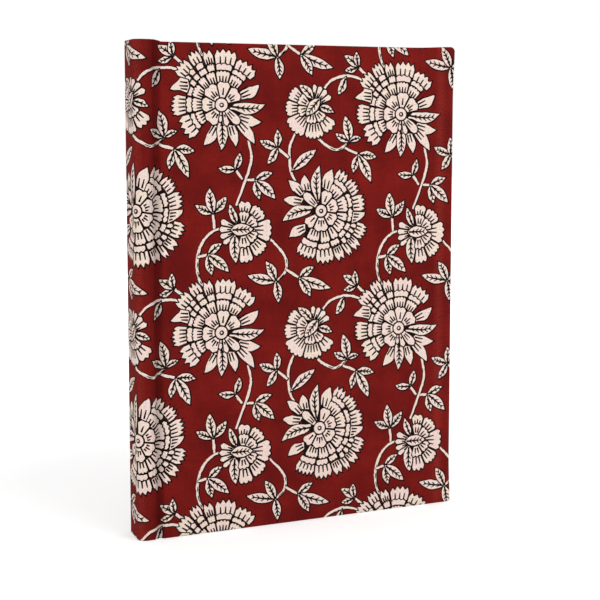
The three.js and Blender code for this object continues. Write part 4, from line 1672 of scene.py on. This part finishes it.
@dataclass
class HingeLinings:
    """Mull and endpaper across each joint, from the leaves' edge, under the shoulder, to the board."""

    case: CaseShape = field(default_factory=CaseShape)
    thickness: float = 0.25
    clearance: float = 0.1
    start: Point = (4.22, 5.24)
    knee_reach: float = 3.7
    board_end: Point = (11.75, 5.29)
    low: float = 3.0
    high: float = 211.0
    bend_from: Point = (3.9, 6.9)
    bend_to: Point = (4.9, 7.3)
    groove_steps: int = 12
    slope_step: float = 1e-3
    knee_rise: float = 0.06
    rows: int = 9

    def route(self) -> list[Point]:
        """The lining's middle line.

        Returns:
            Its points, as reach and depth.
        """
        inset = 2 * self.case.cloth + self.clearance + self.thickness / 2
        first = self.knee_reach + self.case.cloth
        under = []
        for i in range(self.groove_steps + 1):
            reach = first + (self.case.groove_reach - first) * i / self.groove_steps
            depths = self.case.depth(reach + self.slope_step * np.array([-1, 0, 1]))
            slope = float(depths[2] - depths[0]) / (2 * self.slope_step)
            size = math.hypot(1, slope)
            under.append((reach + inset * slope / size, float(depths[1]) - inset / size))
        knee = self.knee_reach, (self.start[1] + under[0][1]) / 2 - self.knee_rise
        return catmull_rom([self.start, knee, *under, self.board_end], 6)

    def build(self) -> None:
        """Builds both linings and hides the part's linings that they replace."""
        material = Paper("endpaper_lining", tone=linear(243, 236, 219), shade=linear(232, 222, 200)).make()
        line = self.route()
        ring = strip(line, [self.thickness] * len(line))
        count = len(ring)
        top = (self.rows - 1) * count
        for side in Side:
            points = []
            for row in range(self.rows):
                z = self.low + (self.high - self.low) * row / (self.rows - 1)
                points += [(x - self.case.width / 2, side.value * y, z) for x, y in ring]
            faces = []
            for below in range(0, top, count):
                for i in range(count):
                    a, b = below + i, below + (i + 1) % count
                    faces.append((a, b, b + count, a + count))
            for i in range(count // 2 - 1):
                quad = (i, i + 1, count - 2 - i, count - 1 - i)
                faces += [quad[::-1], tuple(top + corner for corner in quad)]
            if side is Side.FRONT:
                faces = [face[::-1] for face in faces]
            piece = piece_from(f"{side.label}_joint_lining", np.array(points), faces, material)
            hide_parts(f"{side.label}_hinge_lining")
            self.case.hinge(piece, side, self.bend_from, self.bend_to)


class Recipe:
    """A geometry tree with named inputs, run once to make a plain mesh."""

    SOCKETS = {float: "NodeSocketFloat", int: "NodeSocketInt", tuple: "NodeSocketVector",
               bpy.types.Material: "NodeSocketMaterial"}

    def __init__(self, name: str, inputs: dict) -> None:
        """Makes the tree and its inputs.

        Args:
            name: The tree's name.
            inputs: Each input's name and value.
        """
        self.group = bpy.data.node_groups.new(name, "GeometryNodeTree")
        self.tree = Tree(self.group)
        self.given = inputs
        self.sockets = {}
        for label, value in inputs.items():
            kind = self.SOCKETS[type(value)]
            self.sockets[label] = self.group.interface.new_socket(label, in_out="INPUT", socket_type=kind)
        self.group.interface.new_socket("Geometry", in_out="OUTPUT", socket_type="NodeSocketGeometry")
        entry = self.group.nodes.new("NodeGroupInput")
        self.values = {label: Value(self.tree, entry.outputs[label]) for label in inputs}

    def __getitem__(self, label: str) -> Value:
        """An input, by its name."""
        return self.values[label]

    def finish(self, parts: list[Value]) -> None:
        """Joins parts, realizes their instances and sets their material.

        Args:
            parts: The parts.
        """
        real = self.tree.add("GeometryNodeRealizeInstances", None, {0: self.tree.join(parts)})
        dressed = {"Geometry": real, "Material": self["Material"]}
        self.tree.end("NodeGroupOutput", 0, self.tree.add("GeometryNodeSetMaterial", None, dressed))

    def run(self, name: str, slot: str, **changes: object) -> bpy.types.Object:
        """Runs the tree.

        Args:
            name: The new piece's name.
            slot: Not used.
            changes: Inputs that differ from the given ones, by name with underscores.

        Returns:
            The piece, with no modifier on it.
        """
        holder = linked(f"{name}_holder", bpy.data.meshes.new(f"{name}_holder"))
        modifier = holder.modifiers.new("recipe", "NODES")
        modifier.node_group = self.group
        values = {**self.given, **{label.replace("_", " "): value for label, value in changes.items()}}
        for label, value in values.items():
            modifier[self.sockets[label].identifier] = value
        seen = holder.evaluated_get(bpy.context.evaluated_depsgraph_get())
        mesh = bpy.data.meshes.new_from_object(seen)
        mesh.name = name
        piece = linked(name, mesh)
        bpy.data.objects.remove(holder)
        log.info("%s: %d faces", name, len(mesh.polygons))
        return piece


@dataclass
class SewnSections:
    """Eight sections of folded sheets, nested at their folds and trimmed at the other three edges."""

    sections: int = 8
    sheets: int = 6
    pitch: float = 1.16
    thickness: float = 1.1
    paper: float = 0.08
    fold_radius: float = 0.3
    taper: float = 6.0
    fold_reach: float = 4.6
    length: float = 144.4
    low: float = 3.0
    height: float = 208.0
    trim_error: float = 0.05
    bend_points: int = 31
    fold_share: float = 0.2
    outer_fold: float = 0.85
    inner_fold: float = 0.02
    half_gap: float = 0.006
    merge_m: float = 1e-7
    first_seed: int = 11
    case: CaseShape = field(default_factory=CaseShape)

    def recipe(self, material: bpy.types.Material) -> Recipe:
        """The tree that nests folded sheets about a fold.

        Args:
            material: The paper.

        Returns:
            The tree.
        """
        made = Recipe("nested_sheets", {
            "Sheets": self.sheets, "Sheet Pitch": self.thickness / self.sheets / 2, "Paper": self.paper,
            "Fold Radius": self.fold_radius, "Taper": self.taper, "Length": self.length,
            "Height": self.height, "Trim Error": self.trim_error, "Pivot": (0.0, 0.0, 0.0), "Seed": 1,
            "Material": material,
        })
        tree = made.tree
        size = {"Size X": 2.0, "Size Y": 1.0, "Vertices X": self.bend_points, "Vertices Y": 2}
        grid = tree.add("GeometryNodeMeshGrid", None, size)
        points = tree.add("GeometryNodePoints", None, {"Count": made["Sheets"]})
        index = tree.add("GeometryNodeInputIndex")
        seeded = {"ID": index, "Seed": made["Seed"]}
        chance = tree.add("FunctionNodeRandomValue", {"data_type": "FLOAT"}, seeded, output=1)
        points = tree.store(tree.store(points, "sheet", index), LEAF_ATTRIBUTE, chance)
        placed = tree.add("GeometryNodeInstanceOnPoints", None, {"Points": points, "Instance": grid})
        sheets = tree.add("GeometryNodeRealizeInstances", None, {0: placed})
        sheet, tone = tree.read("sheet"), tree.read(LEAF_ATTRIBUTE)
        t, row, _ = tree.axes(tree.add("GeometryNodeInputPosition"))

        # Each sheet starts as a grid from -1 to 1, whose middle fifth becomes the fold.
        radius = made["Fold Radius"] * (sheet / made["Sheets"] * self.outer_fold + self.inner_fold)
        half = made["Sheet Pitch"] * sheet + self.half_gap
        turn = (t.abs() / self.fold_share).math("MINIMUM", 1.0) * (math.pi / 2)
        run = ((t.abs() - self.fold_share) / (1.0 - self.fold_share)).clamp().math("POWER", 2.0)
        out = run * (made["Length"] + (tone - 0.5) * made["Trim Error"])
        widen = (out / made["Taper"]).math("MINIMUM", 1.0)
        x = out - radius * turn.math("COSINE")
        y = t.math("SIGN") * (radius * turn.sin() + (half - radius) * widen)
        z = (row + 0.5) * made["Height"]
        place = tree.add("ShaderNodeCombineXYZ", None, {0: x, 1: y, 2: z})
        place = tree.add("ShaderNodeVectorMath", {"operation": "ADD"}, {0: place, 1: made["Pivot"]})
        place = tree.add("ShaderNodeVectorMath", {"operation": "SCALE"}, {0: place, "Scale": MM})
        folded = tree.add("GeometryNodeSetPosition", None, {"Geometry": sheets, "Position": place})
        outer = tree.add("GeometryNodeFlipFaces", None, {0: folded})
        thick = tree.add("GeometryNodeExtrudeMesh", {"mode": "FACES"},
                         {"Mesh": outer, "Offset Scale": made["Paper"] * MM, "Individual": False})
        merged = {0: tree.join([thick, folded]), "Distance": self.merge_m}
        made.finish([tree.add("GeometryNodeMergeByDistance", None, merged)])
        return made

    def build(self) -> None:
        """Builds the sections and hands them to the frame."""
        made = self.recipe(LeafPaper().make())
        for number in range(self.sections):
            y = (number - (self.sections - 1) / 2) * self.pitch
            pivot = (self.fold_reach - self.case.width / 2, y, self.low)
            name = f"section_{number + 1}"
            piece = made.run(f"{name}_sheets", "leaf_paper", Pivot=pivot, Seed=number + self.first_seed)
            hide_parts(name)
            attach(piece, name)


@dataclass
class WoundBands:
    """Head and tail bands: thread wound over a core, on a strip that is glued to the spine."""

    reach: float = 4.78
    half: float = 4.44
    core: float = 0.62
    thread: float = 0.115
    turns: float = 33.0
    tab: float = 10.0
    tab_reach: float = 4.05
    tab_thickness: float = 0.2
    tab_overlap: float = 0.3
    edges: tuple = (3.0, 211.0)
    lift: float = 0.95
    turn_points: int = 14
    thread_sides: int = 6
    core_sides: int = 24
    core_grip: float = 0.04
    end_gap: float = 0.02
    case: CaseShape = field(default_factory=CaseShape)

    def build(self) -> None:
        """Builds both bands and hands them to the frame."""
        material = WovenBand("band_cotton", thread_mm=0.3, tone=linear(234, 222, 197)).make()
        made = Recipe("wound_band", {
            "Core": self.core, "Thread": self.thread, "Turns": self.turns, "Width": 2 * self.half,
            "Centre": (0.0, 0.0, 0.0), "Tab Centre": (0.0, 0.0, 0.0),
            "Tab Size": (self.tab_thickness, 2 * self.half, self.tab), "Material": material,
        })
        tree = made.tree
        wound_radius = made["Core"] + made["Thread"]
        spiral = tree.add("GeometryNodeCurveSpiral", None, {
            "Resolution": self.turn_points, "Rotations": made["Turns"], "Start Radius": wound_radius,
            "End Radius": wound_radius, "Height": made["Width"] - made["Thread"] * 2.0})
        ring = tree.add("GeometryNodeCurvePrimitiveCircle", None,
                        {"Resolution": self.thread_sides, "Radius": made["Thread"]})
        thread = tree.add("GeometryNodeCurveToMesh", None,
                          {"Curve": spiral, "Profile Curve": ring, "Fill Caps": True})
        rise = made["Width"] * -0.5 + made["Thread"]
        offset = tree.add("ShaderNodeCombineXYZ", None, {0: 0.0, 1: 0.0, 2: rise})
        thread = tree.add("GeometryNodeTransform", None, {"Geometry": thread, "Translation": offset})
        rod = tree.add("GeometryNodeMeshCylinder", None, {
            "Vertices": self.core_sides, "Radius": made["Core"] + self.core_grip,
            "Depth": made["Width"] - self.end_gap})
        bead = tree.add("GeometryNodeTransform", None, {
            "Geometry": tree.join([thread, rod]), "Rotation": (math.pi / 2, 0.0, 0.0),
            "Translation": made["Centre"]})
        tab = tree.add("GeometryNodeMeshCube", None,
                       {"Size": made["Tab Size"], "Vertices Y": 5, "Vertices Z": 5})
        tab = tree.add("GeometryNodeTransform", None, {"Geometry": tab, "Translation": made["Tab Centre"]})
        scaled = [tree.add("GeometryNodeTransform", None, {"Geometry": part, "Scale": (MM, MM, MM)})
                  for part in (bead, tab)]
        made.finish(scaled)
        middle = self.case.width / 2
        for name, edge, way in (("tail_band", self.edges[0], -1), ("head_band", self.edges[1], 1)):
            centre = (self.reach - middle, 0.0, edge + way * self.lift)
            tab_place = (self.tab_reach - middle, 0.0, edge - way * (self.tab / 2 - self.tab_overlap))
            piece = made.run(f"{name}_wound", "band_cotton", Centre=centre, Tab_Centre=tab_place)
            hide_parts(name)
            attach(piece, "binding")


class CarriedParts:
    """The part's own solids that stay, each with its finish."""

    def build(self) -> None:
        """Dresses the nodes that no piece replaces."""
        endpaper = Paper("endpaper", tone=linear(243, 236, 219), shade=linear(232, 222, 200)).make()
        board = GreyBoard().make()
        tape = WovenBand().make()
        gauze = WovenBand("gauze", thread_mm=0.9, openness=0.8, tone=linear(232, 225, 210)).make()
        thread = TwistedThread().make()
        kraft = Paper("kraft_paper", tone=linear(180, 146, 104), shade=linear(150, 118, 80)).make()
        finishes = {
            "pastedown": endpaper, "flyleaf": endpaper, "board": board, "sewing_tape": tape, "mull": gauze,
            "stitches": thread, "spine_lining": kraft,
        }
        for name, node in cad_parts.items():
            for part, material in finishes.items():
                if part in name:
                    for place in node.material_slots:
                        place.material = material
                    log.info("%s: %s", name, material.name)


# Studio


@dataclass(frozen=True)
class SoftLamp:
    """A square light that points at the book: where it stands, in millimetres, and its power in watts."""

    name: str
    place: tuple
    power: float
    size: float = 900.0
    aim: tuple = (0, 0, 100)

    def build(self) -> None:
        """Adds the lamp."""
        data = bpy.data.lights.new(self.name, "AREA")
        data.shape = "SQUARE"
        data.size = self.size * MM
        data.energy = self.power
        lamp = linked(self.name, data)
        lamp.location = Vector(self.place) * MM
        lamp.rotation_euler = (Vector(self.aim) - Vector(self.place)).to_track_quat("-Z", "Y").to_euler()


@dataclass
class Studio:
    """Pale floor, soft lights and the camera."""

    camera_place: tuple = (-215.0, -522.3, 181.3)
    yaw: float = 22.61
    pitch: float = 5.63
    focal: float = 75.56
    sensor: float = 36.0
    shift_y: float = -0.0933
    sight_m: tuple = (0.01, 50.0)
    floor_size: float = 6000.0
    floor_tone: float = 0.93
    floor_roughness: float = 0.9
    floor_specular: float = 0.1
    world: float = 0.64
    floor_glow: float = 0.36
    far_glow: float = 0.5
    far_from_m: float = 0.15
    lamps: tuple = (SoftLamp("key", (550, -850, 850), 4.8), SoftLamp("fill", (-900, -600, 500), 2.0))

    def camera(self) -> None:
        """Sets the camera where the photograph was taken from."""
        data = bpy.data.cameras.new("camera")
        data.lens = self.focal
        data.sensor_width = self.sensor
        data.shift_y = self.shift_y
        data.clip_start, data.clip_end = self.sight_m
        camera = linked("camera", data)
        turn = (Matrix.Rotation(math.radians(-self.yaw), 4, "Z")
                @ Matrix.Rotation(math.radians(90 - self.pitch), 4, "X"))
        camera.matrix_world = Matrix.Translation(Vector(self.camera_place) * MM) @ turn
        bpy.context.scene.camera = camera

    def seen_white(self, tree: Tree) -> Value:
        """1 for rays that show the background itself: from the camera, in gloss and through glass.

        Args:
            tree: The tree of the world or the floor.

        Returns:
            The mask.
        """
        rays = tree.nodes.nodes.new("ShaderNodeLightPath")
        kinds = ("Camera", "Glossy", "Transmission")
        parts = [Value(tree, rays.outputs[f"Is {kind} Ray"]) for kind in kinds]
        return parts[0].math("MAXIMUM", parts[1]).math("MAXIMUM", parts[2])

    def backdrop(self) -> None:
        """Sets the white world and the floor."""
        world = bpy.data.worlds.new("world")
        bpy.context.scene.world = world
        world.use_nodes = True
        world.node_tree.nodes.clear()
        tree = Tree(world.node_tree)
        strength = self.seen_white(tree) * (1.0 - self.world) + self.world
        white = {"Color": (1.0, 1.0, 1.0, 1.0), "Strength": strength}
        tree.end("ShaderNodeOutputWorld", "Surface", tree.add("ShaderNodeBackground", None, white))

        half = self.floor_size * MM / 2
        corners = [(-half, -half, 0), (half, -half, 0), (half, half, 0), (-half, half, 0)]
        mesh = bpy.data.meshes.new("floor")
        mesh.from_pydata(corners, [], [(0, 1, 2, 3)])
        floor = linked("floor", mesh)
        material = bpy.data.materials.new("floor")
        material.use_nodes = True
        surface = material.node_tree.nodes["Principled BSDF"]
        surface.inputs["Base Color"].default_value = (*[self.floor_tone] * 3, 1.0)
        surface.inputs["Roughness"].default_value = self.floor_roughness
        surface.inputs["Specular IOR Level"].default_value = self.floor_specular
        tree = Tree(material.node_tree)
        place = tree.add("ShaderNodeTexCoord", output="Object")
        away = tree.add("ShaderNodeVectorMath", {"operation": "LENGTH"}, {0: place}, output=1)
        far = away.past(self.far_from_m, 2.0) * self.far_glow
        glow = self.seen_white(tree) * (self.floor_glow + far)
        material.node_tree.links.new(glow.socket, surface.inputs["Emission Color"])
        surface.inputs["Emission Strength"].default_value = 1.0
        mesh.materials.append(material)

    def build(self) -> None:
        """Sets camera, backdrop and lights."""
        bpy.context.scene.view_settings.view_transform = "Standard"
        self.camera()
        self.backdrop()
        for lamp in self.lamps:
            lamp.build()


def main() -> None:
    """Builds the scene, one sub-assembly after another."""
    logging.basicConfig(level=logging.INFO, format="%(name)s: %(message)s")
    Studio().build()
    PrintedCase().build()
    HingeLinings().build()
    SewnSections().build()
    WoundBands().build()
    CarriedParts().build()


if __name__ == "__main__":
    main()
